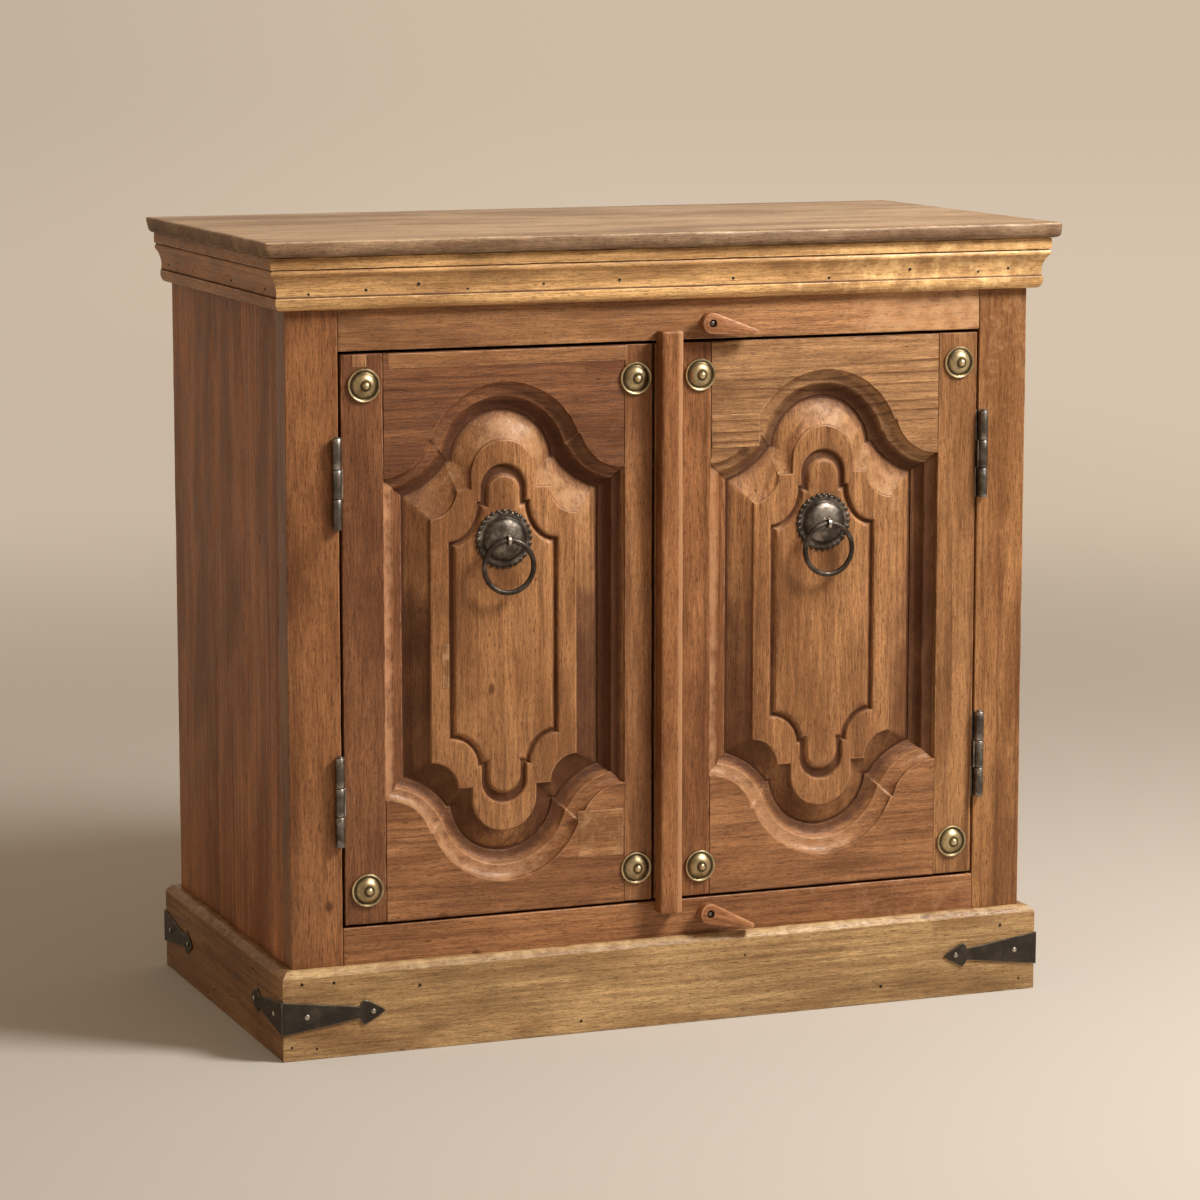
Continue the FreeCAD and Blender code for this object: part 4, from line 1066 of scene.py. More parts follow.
hinge_edge, hinge_seam, meeting_seam = 382.1, 334.1, 52
meeting_edge = {"left": -18.9, "right": -15.5}
stile_wood = {"left_hinge": left_door_wood, "left_meeting": right_door_wood,
              "right_hinge": hinge_stile_wood, "right_meeting": brown_wood}
for side, sign in SIDES:
    for where, outer, seam in (("hinge", sign * hinge_edge, sign * hinge_seam),
                               ("meeting", meeting_edge[side], sign * meeting_seam)):
        low = (min(outer, seam), door_face, door_middle - door_half)
        high = (max(outer, seam), door_face + door_thick, door_middle + door_half)
        board = sawn_board(low, high, UP, 1.0)
        shape = joined(board, moulded_strip(seam, 1 if seam > outer else -1))
        dress(f"{side}_door_{where}_stile", shape, stile_wood[f"{side}_{where}"], chips=0.8)
print("stiles", list(stile_wood))

# %% [markdown]
# ## Patches
# Old doors are mended. Where a corner split off or a mortice was left, a joiner let in a thin
# slip of other wood and planed it almost flush. The slips stand a quarter of a millimetre
# proud, so their edges catch a little light.

# %% Patches
field_y = door_face + FIELD
PROUD, SUNK = 0.25, 1.0


def slip(x, z, along, ground=door_face, pale=0.0):
    shape = sawn_board((x[0], ground - PROUD, z[0]), (x[1], ground + SUNK, z[1]), along, 0.15, 12)
    shape["edge"] = np.maximum(shape["edge"], pale)
    return shape


mends = {"left_door": [slip((-328, -50), (758, 774), ACROSS),
                       slip((-108, -54), (199, 252), ACROSS, pale=0.72),
                       slip((-369, -353), (761, 774), UP),
                       slip((-266, -258), (401, 450), UP, field_y, pale=0.8)],
         "right_door": [slip((53, 111), (655, 692), ACROSS)]}
patch_wood = {"left_door": golden_wood, "right_door": amber_wood}
for body, slips in mends.items():
    mesh = plain_mesh(body + "_patches", joined(*slips))
    finish_piece(body + "_patches", mesh, patch_wood[body], body)
    print(body, "patches", len(slips))

# %% [markdown]
# ## Meeting strip and shelf
# The strip over the doors' meeting is a thick batten with rounded corners. It was sawn from
# the log's outside, so a band of pale sapwood runs down its right corner. The shelf is cut
# out at the back for the two posts, so it is a loft of its outline.

# %% Meeting strip and shelf
low, high = islands("door_cover_strip")[0]
batten = sawn_board(low, high, UP, 3.0, 20)
x, y, _ = batten["points"].T
sapwood = np.clip((x - high[0] + 7.5) / 2.5, 0, 1) * (y < low[1] + 12)
batten["edge"] = np.maximum(batten["edge"], 1.6 * sapwood)
dress("door_cover_strip", batten, strip_wood, even=0.3, chips=0.7)


def drawn_in(outline, inset):
    """A closed outline moved to its inside, which is on the left of its way."""
    outline = np.asarray(outline, float)
    come = outline - np.roll(outline, 1, axis=0)
    go = np.roll(outline, -1, axis=0) - outline
    come, go = [w / np.maximum(np.linalg.norm(w, axis=1, keepdims=True), 1e-9) for w in (come, go)]
    normal = np.stack([-(come + go)[:, 1], (come + go)[:, 0]], axis=-1)
    length = np.linalg.norm(normal, axis=1, keepdims=True)
    normal = normal / np.maximum(length, 1e-9)
    return outline + normal * inset / np.clip(length / 2, 0.5, 1)


def upright(x, y, z):
    """Sets outlines level about a point, with heights going up."""
    return lambda points, height: np.column_stack(
        [x + points[:, 0], y + points[:, 1], np.full(len(points), z + height)])


def slab(outline, low, high, soft, along):
    """A level piece with softened corners, from its outline (anticlockwise) and two heights."""
    rows = [(soft + 2.5, low, 0), (soft, low, 0.5), (0.3 * soft, low + 0.3 * soft, 0.9),
            (0, low + soft, 0.8), (0, high - soft, 0.8), (0.3 * soft, high - 0.3 * soft, 1),
            (soft, high, 0.8), (soft + 2.5, high, 0.05)]
    rows = [(drawn_in(outline, inset), height, edge, 0) for inset, height, edge in rows]
    return ringed(rows, upright(0, 0, 0), along)


shelf_half, post_x, shelf_front, post_y, shelf_back = 425, 390.5, -155.4, 180.1, 214.6
shelf_outline = [(-shelf_half, shelf_front), (shelf_half, shelf_front), (shelf_half, post_y),
                 (post_x, post_y), (post_x, shelf_back), (-post_x, shelf_back), (-post_x, post_y),
                 (-shelf_half, post_y)]
dress("shelf", slab(shelf_outline, 452, 470, 1.5, ACROSS), inner_wood)
print("strip", (high - low).round(1))

# %% [markdown]
# ## Turn latches
# Two wooden buttons turn on screws in the frame's rails. Each is a drop with a round head,
# its corners rubbed round, and a sunk hole for the screw's head. The grain runs along the
# drop, because a button cut across it would snap.

# %% Turn latches
latch_x, latch_back, latch_thick = 45.0, -228.9, 13
latch_heights = {"upper": 797, "lower": 125.5}
HEAD, TIP, DROP = 12, 3.6, 54


def out_front(x, y, z):
    """Sets outlines about a point of the front, with heights going out of it."""
    return lambda points, height: np.column_stack(
        [x + points[:, 0], np.full(len(points), y - height), z + points[:, 1]])


def drop_outline(pivot, turn, inset):
    lean = math.acos((HEAD - TIP) / DROP)
    tip = (pivot[0] + DROP * math.cos(turn), pivot[1] + DROP * math.sin(turn))
    head = arc_points(pivot, HEAD - inset, turn + lean, turn + 2 * math.pi - lean, 36)
    point = arc_points(tip, TIP - inset, turn - lean, turn + lean, 15)
    sides = [np.linspace(a, b, 12)[1:-1] for a, b in ((head[-1], point[0]), (point[-1], head[0]))]
    return np.concatenate([head, sides[0], point, sides[1]])


def latch_button(pivot, turn):
    spokes = drop_outline(pivot, turn, 0) - pivot
    spokes = spokes / np.linalg.norm(spokes, axis=1, keepdims=True)
    front, floor = latch_thick, latch_thick - 3.6
    rows = [(drop_outline(pivot, turn, inset), height, edge, 0) for inset, height, edge in (
        (1.2, 0, 0), (0, 1.2, 0.6), (0, front - 2.2, 0.5), (0.6, front - 0.7, 1), (2.2, front, 0.7))]
    rows += [(pivot + spokes * radius, height, edge, hollow) for radius, height, edge, hollow in (
        (5.6, front, 0.1, 0.2), (4.5, front, 0.6, 0.4), (4.2, front - 0.4, 0.2, 0.9), (4.2, floor, 0, 1),
        (2.4, floor, 0, 1))]
    shape = ringed(rows, out_front(0, latch_back, 0), ACROSS)
    x, y, z = (shape["points"] - (pivot[0], 0, pivot[1])).T
    along_drop = x * math.cos(turn) + z * math.sin(turn)
    across = z * math.cos(turn) - x * math.sin(turn)
    shape["grain"] = np.column_stack([across + 20 * next(seeds), y + 60, along_drop])
    return shape


for which, angle in (("upper", -12), ("lower", -19)):
    shape = latch_button(np.array((latch_x, latch_heights[which])), math.radians(angle))
    dress(which + "_latch", shape, latch_wood, even=0.2, chips=0.5)

# %% [markdown]
# ## Turned pieces
# Bosses, screws, spacers, domes and hinge barrels are turned: an outline of radius and
# height goes round an axis. `turned` lays the rings from the outline's first point to its
# last, with the wear marks given at each. A tube's outline closes on itself round a hole.

# %% Turned pieces
def circle(sides):
    angles = np.arange(sides) * 2 * math.pi / sides
    return np.column_stack([np.cos(angles), np.sin(angles)])


def turned(rows, place, sides=40):
    """rows are (radius, height, edge, hollow), from axis to axis."""
    return ringed([(max(radius, 0.02) * circle(sides), *others) for radius, *others in rows], place, UP)


def tube(rows, place, sides):
    """rows as for turned, right round the wall."""
    rings = np.stack([place(radius * circle(sides), height) for radius, height, _, _ in rows], axis=1)
    edge, hollow = [np.array([row[key] for row in rows]) for key in (2, 3)]
    return loft(np.concatenate([rings, rings[:1]]), edge, hollow, UP, capped=False)


screw_rows = [(0, 0, 0, 0), (2, 0, 0, 1), (2, 19.1, 0, 1), (3.4, 19.25, 0.1, 0.9), (3.3, 19.8, 0.4, 0.5),
              (2.5, 20.8, 0.3, 0.4), (1.2, 21.3, 0.2, 0.4), (0, 21.35, 0.2, 0.4)]
spacer_rows = [(2.4, 0, 0, 0), (7, 0, 0, 0.5), (7, 8.6, 0.6, 0), (6.5, 9.2, 0.8, 0), (2.4, 9.2, 0, 0)]
pivots = [out_front(latch_x, face_y, z) for z in latch_heights.values()]
screws = joined(*[turned(screw_rows, pivot, 24) for pivot in pivots])
dress("latch_screws", screws, steel, even=0.02, chips=0.05)
spacers = joined(*[turned(spacer_rows, pivot, 28) for pivot in pivots])
dress("latch_spacers", spacers, latch_wood, even=0.05, chips=0.1)
print("screws and spacers on", len(pivots), "pivots")

# %% [markdown]
# ## Trees that grow pieces
# What repeats is set out by Geometry Nodes with named inputs. The inputs are set by their
# identifiers before the host is first looked at. The result is taken out as a plain mesh,
# because instances and live nodes don't survive export.

# %% Growing a tree
def tree_of(name, inputs):
    tree = bpy.data.node_groups.new(name, "GeometryNodeTree")
    ids = {label: tree.interface.new_socket(label, in_out="INPUT", socket_type="NodeSocket" + kind).identifier
           for label, kind in (("Host", "Geometry"), *inputs)}
    tree.interface.new_socket("Piece", in_out="OUTPUT", socket_type="NodeSocketGeometry")
    return tree, ids, tree.nodes.new("NodeGroupInput").outputs


def ending(tree, geometry, finish):
    """Makes the copies real, gives them their metal and puts them out."""
    real = put(tree, "GeometryNodeRealizeInstances", {0: geometry}).outputs[0]
    metalled = put(tree, "GeometryNodeSetMaterial", {"Geometry": real, "Material": finish}).outputs[0]
    tree.links.new(metalled, tree.nodes.new("NodeGroupOutput").inputs[0])


def grown(mesh, tree, ids, values):
    """The plain mesh that a tree makes on a host mesh. The host is removed."""
    host = placed("host", mesh)
    nodes = host.modifiers.new("nodes", "NODES")
    nodes.node_group = tree
    for label, value in values.items():
        nodes[ids[label]] = value
    bpy.context.view_layer.update()
    made = bpy.data.meshes.new_from_object(host.evaluated_get(bpy.context.evaluated_depsgraph_get()))
    host.modifiers.clear()
    bpy.data.objects.remove(host)
    return made


print("trees can be grown")

# %% [markdown]
# ## Copies on marks
# Bosses and nails repeat. The tree takes a mesh of marks, one point for each copy with a
# "facing" turn, sets a shape on each, and varies its size and spin with a fixed seed.

# %% The copies tree
copies_tree, copies_ids, given = tree_of("copies on marks", [
    ("Shape", "Object"), ("Size spread", "Float"), ("Spin", "Float"), ("Seed", "Int"),
    ("Finish", "Material")])
tree = copies_tree
shape = put(tree, "GeometryNodeObjectInfo", {"Object": given["Shape"]}).outputs["Geometry"]
smallest = sums(tree, "SUBTRACT", 1.0, given["Size spread"])
size = put(tree, "FunctionNodeRandomValue", {2: smallest, 3: 1.0, "Seed": given["Seed"]},
           data_type="FLOAT").outputs[1]
facing = put(tree, "GeometryNodeInputNamedAttribute", {"Name": "facing"}, data_type="FLOAT_VECTOR").outputs[0]
turn = put(tree, "FunctionNodeEulerToRotation", {0: facing}).outputs[0]
angle = put(tree, "FunctionNodeRandomValue", {2: 0.0, 3: given["Spin"], "Seed": given["Seed"]},
            data_type="FLOAT").outputs[1]
spin = put(tree, "FunctionNodeAxisAngleToRotation", {"Axis": (0, 0, 1), "Angle": angle}).outputs[0]
turn = put(tree, "FunctionNodeRotateRotation", {0: turn, 1: spin}, rotation_space="LOCAL").outputs[0]
copies = put(tree, "GeometryNodeInstanceOnPoints",
             {"Points": given["Host"], "Instance": shape, "Rotation": turn, "Scale": size}).outputs[0]
ending(tree, copies, given["Finish"])


def set_copies(name, shape, marks, facings, finish, spread=0.06):
    """Copies of a shape, made about the origin with its height along Z, as one mesh."""
    master = placed(name + "_master", plain_mesh(name + "_master", shape))
    mesh = bpy.data.meshes.new(name + "_marks")
    mesh.from_pydata((np.asarray(marks, float) * MM).tolist(), [], [])
    turns = mesh.attributes.new("facing", "FLOAT_VECTOR", "POINT")
    turns.data.foreach_set("vector", np.asarray(facings, float).ravel())
    made = grown(mesh, copies_tree, copies_ids, {
        "Shape": master, "Size spread": spread, "Spin": 6.28, "Seed": next(seeds), "Finish": finish})
    bpy.data.objects.remove(master)
    return made


print("copies tree of", len(copies_tree.nodes), "nodes")

# %% [markdown]
# ## Bosses
# Four brass bosses stand at the corners of each door: a rolled rim, a gutter, a low dome and
# a knob. They were set by hand, so each stands a little off its drawn place.

# %% Bosses
FRONT, REAR = (math.pi / 2, 0, 0), (-math.pi / 2, 0, 0)
LEFT_SIDE, RIGHT_SIDE = (0, -math.pi / 2, 0), (0, math.pi / 2, 0)
at_origin = upright(0, 0, 0)
boss_rows = [(0, 0, 0, 0), (18.8, 0, 0, 0.7), (19, 0.9, 0.4, 0.3), (18.6, 2.2, 0.9, 0), (17.8, 3.0, 1, 0),
             (16.9, 2.9, 0.6, 0.1), (16, 2.1, 0, 0.8), (15, 1.6, 0, 1), (13.9, 2.0, 0, 0.9),
             (12.6, 3.6, 0.1, 0.4), (10.6, 5.2, 0.4, 0.1), (8.4, 6.4, 0.5, 0), (6.6, 7.0, 0.2, 0.4),
             (5.6, 6.9, 0, 1), (4.7, 7.1, 0, 1), (4.4, 8.0, 0.2, 0.3), (3.7, 9.5, 0.7, 0),
             (2.2, 10.7, 0.9, 0), (0, 11.1, 1, 0)]
boss = turned(boss_rows, at_origin)
boss_corners = [(x, z) for x in (38, 358.1) for z in (739, 180)]
hand_set = {"left": ((-1.3, -1.8), (-0.4, 2.0), (2.0, 1.7), (1.4, 2.0)),
            "right": ((0.0, -0.7), (1.8, -2.0), (1.0, 2.0), (-1.1, 2.0))}
for side, sign in SIDES:
    spots = [(sign * x + off_x, door_face, z + off_z)
             for (x, z), (off_x, off_z) in zip(boss_corners, hand_set[side])]
    mesh = set_copies(side + "_bosses", boss, spots, [FRONT] * 4, brass, spread=0.02)
    finish_piece(side + "_door_bosses_piece", mesh, brass, side + "_door", [side + "_door_bosses"])
print("bosses on each door", len(boss_corners))

# %% [markdown]
# ## Nails and brads
# The straps' nails are forged, with low uneven heads. Two hold each leg of a strap.

# %% Strap nails
strap_z, strap_thick = 49, 2
nail_rows = [(0, 0, 0, 0), (3.4, 0, 0, 1), (3.5, 0.5, 0.4, 0.4), (2.9, 1.2, 0.8, 0), (1.7, 1.7, 1, 0),
             (0, 1.75, 1, 0)]
nail = turned(nail_rows, at_origin, 9)
spots, facings = [], []
for sign_x, side_facing in ((-1, LEFT_SIDE), (1, RIGHT_SIDE)):
    for sign_y, face_facing, wall in ((-1, FRONT, face_y - plinth_out), (1, REAR, back_y + plinth_out)):
        for inset in (27, 103.5):
            spots += [(sign_x * (plinth_half - inset), wall + sign_y * strap_thick, strap_z),
                      (sign_x * (plinth_half + strap_thick), wall - sign_y * inset, strap_z)]
            facings += [face_facing, side_facing]
mesh = set_copies("strap_nails", nail, spots, facings, nail_iron)
finish_piece("strap_nails_piece", mesh, nail_iron, "cabinet", ["strap_nails"])
print("strap nails", len(spots))

# %% [markdown]
# Small brads show as dark dots where the mouldings were nailed on. Their heads hold dirt,
# and they vary in size more than the nails do.

# %% Moulding brads
cornice_brads = ((-420.6, 842), (-356, 845), (-296.4, 850), (-240, 843), (-152, 846), (-63, 848),
                 (73.1, 846), (190, 843), (290, 850), (376.2, 845), (414.2, 848))
plinth_brads = ((-437.7, 86), (-401, 84.7), (-301.4, 73.3), (-450, 15.9), (-421.4, 12), (90.4, 72.6),
                (-110, 14), (262, 20), (415.1, 79.8), (440, 14))
cornice_end_brads = ((-190, 846), (-60, 846), (95, 846), (200, 846))
plinth_end_brads = ((-120, 80), (40, 18), (190, 78))
brad_rows = [(0, -1.5, 0, 0.6), (1.9, -1.5, 0, 0.6), (2.0, 0.15, 0, 1), (1.5, 0.4, 0, 1),
             (0.8, 0.15, 0, 0.8), (0, 0.1, 0, 0.8)]
brad = turned(brad_rows, at_origin, 9)
cove = [(reach, height) for reach, height in cornice_section if 837 < height < 870 and reach < 20]


def reach_at(z, face):
    """How far the face of a moulding stands out at a height."""
    return np.interp(z, [height for _, height in face], [reach for reach, _ in face])


spots, facings = [], []
for face, front_brads, end_brads in ((cove, cornice_brads, cornice_end_brads),
                                     (plinth_section[1:3], plinth_brads, plinth_end_brads)):
    spots += [(x, face_y - reach_at(z, face), z) for x, z in front_brads]
    facings += [FRONT] * len(front_brads)
    for y, z in end_brads:
        spots += [(sign * (carcass_half + reach_at(z, face)), y, z) for _, sign in SIDES]
        facings += [LEFT_SIDE, RIGHT_SIDE]
mesh = set_copies("moulding_brads", brad, spots, facings, strap_iron, spread=0.45)
finish_piece("moulding_brads", mesh, strap_iron, "cabinet")
print("moulding brads", len(spots))

# %% [markdown]
# ## Corner straps
# Each corner of the plinth wears an iron angle. A leg tapers to a neck and ends in a small
# spear with two round barbs. Both legs are thin slabs with hammered corners that meet in a
# heel at the corner.

# %% Corner straps
spear = [(-2, 19), (30, 14.8), (60, 10.6), (88, 6.7), (89.2, 8.6), (90.2, 11.0), (91.8, 12.8),
         (93.8, 13.5), (96.0, 13.2), (99.0, 11.9), (103.0, 9.7), (107.0, 7.6), (111.0, 5.2),
         (114.5, 2.8), (117.0, 1.0)]
strap_outline = np.array([(u, -v) for u, v in spear] + [(118, 0)] + spear[::-1], float)
strap_rows = [(drawn_in(strap_outline, inset), height, edge, hollow) for inset, height, edge, hollow in (
    (0.3, 0, 0, 0.5), (0, 0.5, 0.3, 0.4), (0, 1.4, 0.7, 0), (0.35, 1.9, 1, 0),
    (1.0, strap_thick, 0.6, 0), (2.4, strap_thick, 0.05, 0))]


def corner_strap(sign_x, sign_y):
    corner_x = sign_x * plinth_half
    corner_y = face_y - plinth_out if sign_y < 0 else back_y + plinth_out

    def on_face(points, height):
        return np.column_stack([corner_x - sign_x * points[:, 0],
                                np.full(len(points), corner_y + sign_y * height), strap_z + points[:, 1]])

    def on_side(points, height):
        return np.column_stack([np.full(len(points), corner_x + sign_x * height),
                                corner_y - sign_y * points[:, 0], strap_z + points[:, 1]])

    return joined(ringed(strap_rows, on_face, UP), ringed(strap_rows, on_side, UP))


for end, sign_y in (("front", -1), ("rear", 1)):
    for side, sign_x in SIDES:
        dress(f"{end}_{side}_strap", corner_strap(sign_x, sign_y), strap_iron, even=0.06, chips=0.12)

# %% [markdown]
# ## Pulls
# A pull is a sheet iron rosette with a rim of small round teeth, a beaten dome, an eye and a
# forged ring. The teeth are one knob set round a circle by nodes.

# %% The toothed rim
teeth_tree, teeth_ids, given = tree_of("toothed rim", [
    ("Count", "Int"), ("Radius", "Float"), ("Knob", "Object"), ("Centre", "Vector"), ("Finish", "Material")])
tree = teeth_tree
rim = put(tree, "GeometryNodeMeshCircle", {"Vertices": given["Count"], "Radius": given["Radius"]}).outputs[0]
knob = put(tree, "GeometryNodeObjectInfo", {"Object": given["Knob"]}).outputs["Geometry"]
teeth = put(tree, "GeometryNodeInstanceOnPoints", {"Points": rim, "Instance": knob}).outputs[0]
teeth = put(tree, "GeometryNodeTransform",
            {"Geometry": teeth, "Rotation": FRONT, "Translation": given["Centre"]}).outputs[0]
ending(tree, teeth, given["Finish"])
print("teeth tree of", len(teeth_tree.nodes), "nodes")

# %% [markdown]
# The ring is a circle swept by a smaller one. A smith bends it round a horn, so it is a
# little out of true: noise moves its surface in by up to half a millimetre.

# %% The forged ring
ring_tree, ring_ids, given = tree_of("forged ring", [
    ("Radius", "Float"), ("Wire", "Float"), ("Centre", "Vector"), ("Dents", "Float"), ("Finish", "Material")])
tree = ring_tree
path = put(tree, "GeometryNodeCurvePrimitiveCircle", {"Resolution": 96, "Radius": given["Radius"]}).outputs[0]
wire = put(tree, "GeometryNodeCurvePrimitiveCircle", {"Resolution": 18, "Radius": given["Wire"]}).outputs[0]
ring = put(tree, "GeometryNodeCurveToMesh", {"Curve": path, "Profile Curve": wire}).outputs[0]
bumps = put(tree, "ShaderNodeTexNoise", {"Scale": 60.0, "Detail": 1.0}).outputs["Fac"]
normal = put(tree, "GeometryNodeInputNormal").outputs[0]
offset = put(tree, "ShaderNodeVectorMath", {0: normal, "Scale": times(tree, bumps, given["Dents"])},
             operation="SCALE").outputs[0]
ring = put(tree, "GeometryNodeSetPosition", {"Geometry": ring, "Offset": offset}).outputs[0]
ring = put(tree, "GeometryNodeTransform",
           {"Geometry": ring, "Rotation": FRONT, "Translation": given["Centre"]}).outputs[0]
ending(tree, ring, given["Finish"])
print("ring tree of", len(ring_tree.nodes), "nodes")

# %% [markdown]
# The rosette's dome is turned, with a rolled rim under the teeth. The ring hangs from the
# eye's middle, so its own middle is one radius lower.

# %% Pulls
pull_z, eye_y = 564.3, -229.7
TOOTH_COUNT, TOOTH_RADIUS = 28, 30.4
RING_RADIUS, RING_WIRE, RING_DENT = 29, 3.15, 0.5
knob_rows = [(0, 0, 0, 0), (3.0, 0, 0, 0.8), (3.1, 0.7, 0.1, 0.5), (2.6, 1.5, 0.4, 0.1), (1.4, 1.95, 0.5, 0),
             (0, 2.05, 0.5, 0)]
dome_rows = [(0, 0, 0, 0), (30.8, 0, 0, 0.8), (31, 0.8, 0.2, 0.3), (30.4, 1.6, 0.5, 0), (29.2, 1.9, 0.4, 0),
             (26.4, 1.7, 0, 0.5), (24.2, 2.0, 0, 1)]
for turn in np.linspace(0.12, math.pi / 2, 10):
    dome_rows.append((4.5 + 19 * math.cos(turn), 2 + 7.6 * math.sin(turn),
                      0.15 + 0.5 * math.sin(turn), 0.6 * max(0, 1 - turn * 2)))
dome_rows += [(2, 9.6, 0.2, 0.6), (0, 9.6, 0, 0.6)]
knob_shape = turned(knob_rows, at_origin, 12)
for side, sign in SIDES:
    x = sign * panel_x
    dome = turned(dome_rows, out_front(x, field_y, pull_z), 56)
    dress(side + "_pull_plate", dome, iron, even=0.35, chips=0.1)
    master = placed("knob", plain_mesh("knob", knob_shape))
    mesh = grown(bpy.data.meshes.new("host"), teeth_tree, teeth_ids, {
        "Count": TOOTH_COUNT, "Radius": TOOTH_RADIUS * MM, "Knob": master,
        "Centre": (x * MM, field_y * MM, pull_z * MM), "Finish": ring_iron})
    bpy.data.objects.remove(master)
    finish_piece(side + "_pull_teeth", mesh, ring_iron, side + "_door")
    mesh = grown(bpy.data.meshes.new("host"), ring_tree, ring_ids, {
        "Radius": RING_RADIUS * MM, "Wire": RING_WIRE * MM, "Dents": -RING_DENT * MM,
        "Centre": (x * MM, eye_y * MM, (pull_z - RING_RADIUS) * MM), "Finish": ring_iron})
    finish_piece(side + "_pull_ring_piece", mesh, ring_iron, side + "_ring", [side + "_pull_ring"])
print("faces in a ring", len(mesh.polygons))

# %% [markdown]
# The eye that carries the ring is a short neck and a flat eyelet. The eyelet is a tube about
# the line across the door.

# %% Pull eyes
HOLE, OUTER, HALF, NECK_Y = 3.75, 5.95, 2.2, -223.3
eyelet_rows = [(HOLE, -HALF + 0.6, 0.2, 0.5), (HOLE + 0.7, -HALF, 0.7, 0), (OUTER - 0.8, -HALF, 0.7, 0),
               (OUTER, -HALF + 0.8, 1, 0), (OUTER, HALF - 0.8, 1, 0), (OUTER - 0.8, HALF, 0.7, 0),
               (HOLE + 0.7, HALF, 0.7, 0), (HOLE, HALF - 0.6, 0.2, 0.5)]
neck_rows = [(0, 0, 0, 0), (3.2, 0, 0, 1), (2.9, 0.5, 0.2, 0.6), (2.7, 1.3, 0.2, 0.6), (0, 1.3, 0, 0)]


def across_door(x, y, z):
    """Sets outlines about a point, with heights going to the right."""
    return lambda points, height: np.column_stack(
        [np.full(len(points), x + height), y + points[:, 0], z + points[:, 1]])


for side, sign in SIDES:
    x = sign * panel_x
    neck = turned(neck_rows, out_front(x, NECK_Y, pull_z), 20)
    eyelet = tube(eyelet_rows, across_door(x, eye_y, pull_z), 28)
    dress(side + "_pull_eye", joined(eyelet, neck), iron, even=0.05, chips=0.1)
print("points in an eyelet", len(eyelet["points"]))

# %% [markdown]
# ## Hinges
# Four butt hinges of two leaves, with three knuckles round a pin. The leaves lie between the
# door's edge and the stile, so mostly the knuckles show. Each knuckle is a turned tube with
# a short bend to its leaf. The frame's leaf carries the two outer knuckles.

# %% Hinges
pin_x, pin_y, hinge_length, leaf_deep, bend_x = 389, -225, 100, 28, 384.4
knuckle_spans = ((0, 33.75), (34.25, 65.75), (66.25, hinge_length))
leaves = (("frame", (383.8, 385.0), (0, 2)), ("door", (382.1, 383.3), (1,)))
hinge_middles = (284, 635)
pin_rows = [(0, 0, 0, 0), (2.2, 0, 0.3, 0.5), (2.2, hinge_length, 0, 0.6), (3.5, hinge_length, 0.4, 0.4),
            (3.5, hinge_length + 0.5, 0.9, 0), (2.6, hinge_length + 1.4, 0.9, 0),
            (0, hinge_length + 1.6, 0.6, 0)]


def knuckle(x, low, high):
    lower = [(2.5, 0.5, 0, 0.7), (3.4, 0.1, 0.4, 0.3), (4.6, 0.1, 0.7, 0.2), (5.2, 0.8, 0.9, 0)]
    rows = [(radius, low + off, edge, hollow) for radius, off, edge, hollow in lower]
    rows.append((5.2, (low + high) / 2, 0.35, 0))
    rows += [(radius, high - off, edge, hollow) for radius, off, edge, hollow in lower[::-1]]
    return tube(rows, upright(x, pin_y, 0), 24)


def leaf_parts(sign, low, sides, own):
    """One leaf of a hinge with its own knuckles, each with its bend."""
    near, far = sorted(sign * x for x in sides)
    parts = [sawn_board((near, face_y, low), (far, face_y + leaf_deep, low + hinge_length), UP, 0.4, 20)]
    for index in own:
        start, end = [low + height for height in knuckle_spans[index]]
        parts.append(knuckle(sign * pin_x, start, end))
        near, far = sorted((sign * bend_x, sign * sides[0]))
        parts.append(sawn_board((near, pin_y, start), (far, face_y + 0.5, end), UP, 0.2, 20))
    return parts


for side, sign in SIDES:
    parts = {"frame": [], "door": [], "pins": []}
    for middle in hinge_middles:
        low = middle - hinge_length / 2
        for which, sides, own in leaves:
            parts[which] += leaf_parts(sign, low, sides, own)
        parts["pins"].append(turned(pin_rows, upright(sign * pin_x, pin_y, low), 20))
    dress(side + "_hinge_frame_leaves", joined(*parts["frame"]), steel, even=0.03, chips=0.08)
    dress(side + "_hinge_door_leaves", joined(*parts["door"]), steel, even=0.03, chips=0.08)
    dress(side + "_hinge_pins", joined(*parts["pins"]), steel, even=0.01, chips=0.02)
print("knuckles of a hinge", len(knuckle_spans))

# %% [markdown]
# ## Studio
# The photograph was taken on a seamless warm sheet with one large soft lamp high on the
# right. A round floor that turns up into a wall stays plain from every side. Far from the
# cabinet the sheet glows, but only for eyes and mirrors, so that it lights nothing. The glow
# is painted darker towards the left and brighter low down: painted shade and painted light.

# %% Studio sheet
SHEET_SIDES, FLOOR, BEND, WALL = 72, 9, 2.5, 6
bend = [(FLOOR + BEND * math.sin(a), BEND - BEND * math.cos(a)) for a in np.linspace(0.2, math.pi / 2, 8)]
outline = [(0.001, 0), (4, 0), (FLOOR, 0), *bend, (FLOOR + BEND, WALL)]
points = [(r * x, r * y, z) for r, z in outline for x, y in circle(SHEET_SIDES)]
faces = []
for i in range(0, SHEET_SIDES * (len(outline) - 1), SHEET_SIDES):
    for j in range(SHEET_SIDES):
        k = (j + 1) % SHEET_SIDES
        faces.append((i + j, i + k, i + SHEET_SIDES + k, i + SHEET_SIDES + j))
mesh = bpy.data.meshes.new("studio_sheet")
mesh.from_pydata(points, [], faces)
mesh.shade_smooth()
sheet = placed("studio_sheet", mesh)

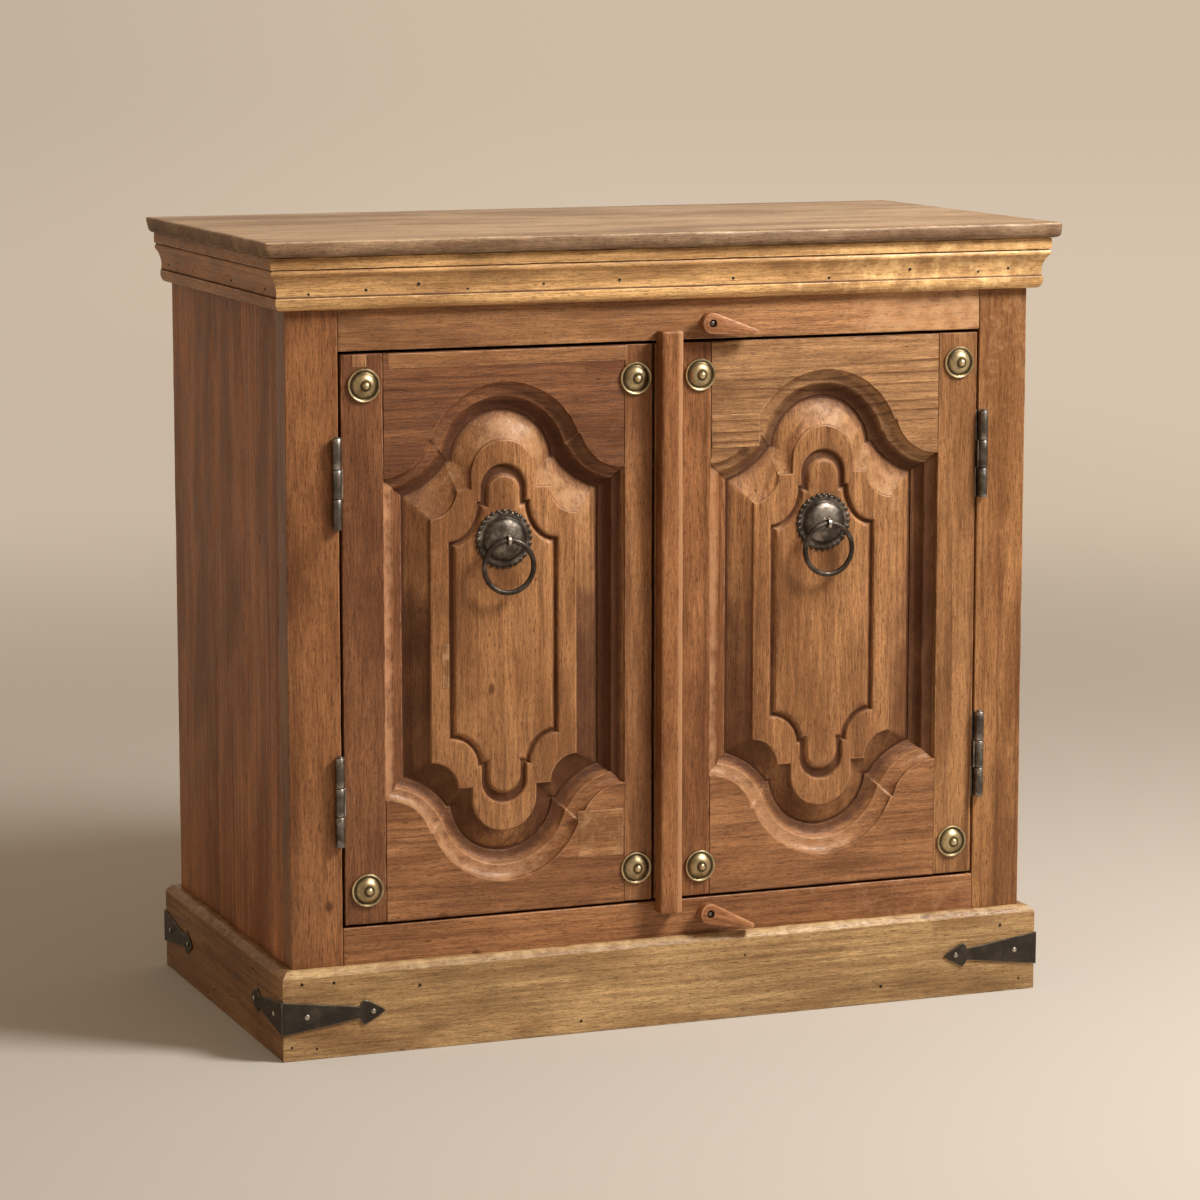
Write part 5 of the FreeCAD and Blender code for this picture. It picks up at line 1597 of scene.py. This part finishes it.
paper, tree = blank_material("studio paper")
place = put(tree, "ShaderNodeTexCoord").outputs["Object"]
distance = put(tree, "ShaderNodeVectorMath", {0: place}, operation="LENGTH").outputs["Value"]
rays = put(tree, "ShaderNodeLightPath").outputs
seen = sums(tree, "MAXIMUM", rays["Is Camera Ray"], rays["Is Glossy Ray"])
seen = sums(tree, "MAXIMUM", seen, rays["Is Transmission Ray"])
far = times(tree, ramp(tree, distance, 0.9, 4.5), seen)
lit = put(tree, "ShaderNodeBsdfDiffuse", {"Color": (0.55, 0.512, 0.46, 1)}).outputs[0]
axes = put(tree, "ShaderNodeSeparateXYZ", {0: place}).outputs
# Painted shade and light on the glow: darker towards the left, brighter near the floor.
painted_shading = times(tree, ramp(tree, axes["X"], 1.2, 4.0, 0.87, 1.01), ramp(tree, axes["Z"], 0.0, 0.8, 1.1, 1.0))
glow = put(tree, "ShaderNodeEmission", {"Color": (0.61, 0.495, 0.38, 1), "Strength": painted_shading}).outputs[0]
mixed = put(tree, "ShaderNodeMixShader", {0: far, 1: lit, 2: glow}).outputs[0]
put(tree, "ShaderNodeOutputMaterial", {"Surface": mixed})
sheet.data.materials.append(paper)
sheet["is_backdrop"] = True
print("sheet of", len(faces), "faces")

# %% [markdown]
# One round lamp gives the soft shadow to the left. The world gives a weak even light, so
# that the shaded side keeps its grain.

# %% Lamp and world
lamp_at, lamp_target = np.array((1.56, -1.56, 2.49)), np.array((0, 0, 0.45))
lamp = placed("key lamp", bpy.data.lights.new("key lamp", "AREA"))
lamp.data.shape, lamp.data.size = "DISK", 1.0
lamp.data.energy, lamp.data.color = 112, (1.0, 0.97, 0.93)
lamp.location = lamp_at
lamp.visible_camera = False
way = lamp_target - lamp_at
lamp.rotation_euler = (math.atan2(math.hypot(way[0], way[1]), -way[2]), 0, math.atan2(-way[0], way[1]))
world = bpy.data.worlds.new("studio")
world.use_nodes = True
background = world.node_tree.nodes["Background"].inputs
background["Color"].default_value = (1.0, 0.79, 0.58, 1)
background["Strength"].default_value = 0.5
scene.world = world
print("lamp", lamp.data.energy, "W, pieces", len(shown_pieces()))

# %% Finish
low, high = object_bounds()
print("visual box", [round(v, 4) for v in (*low, *high)])
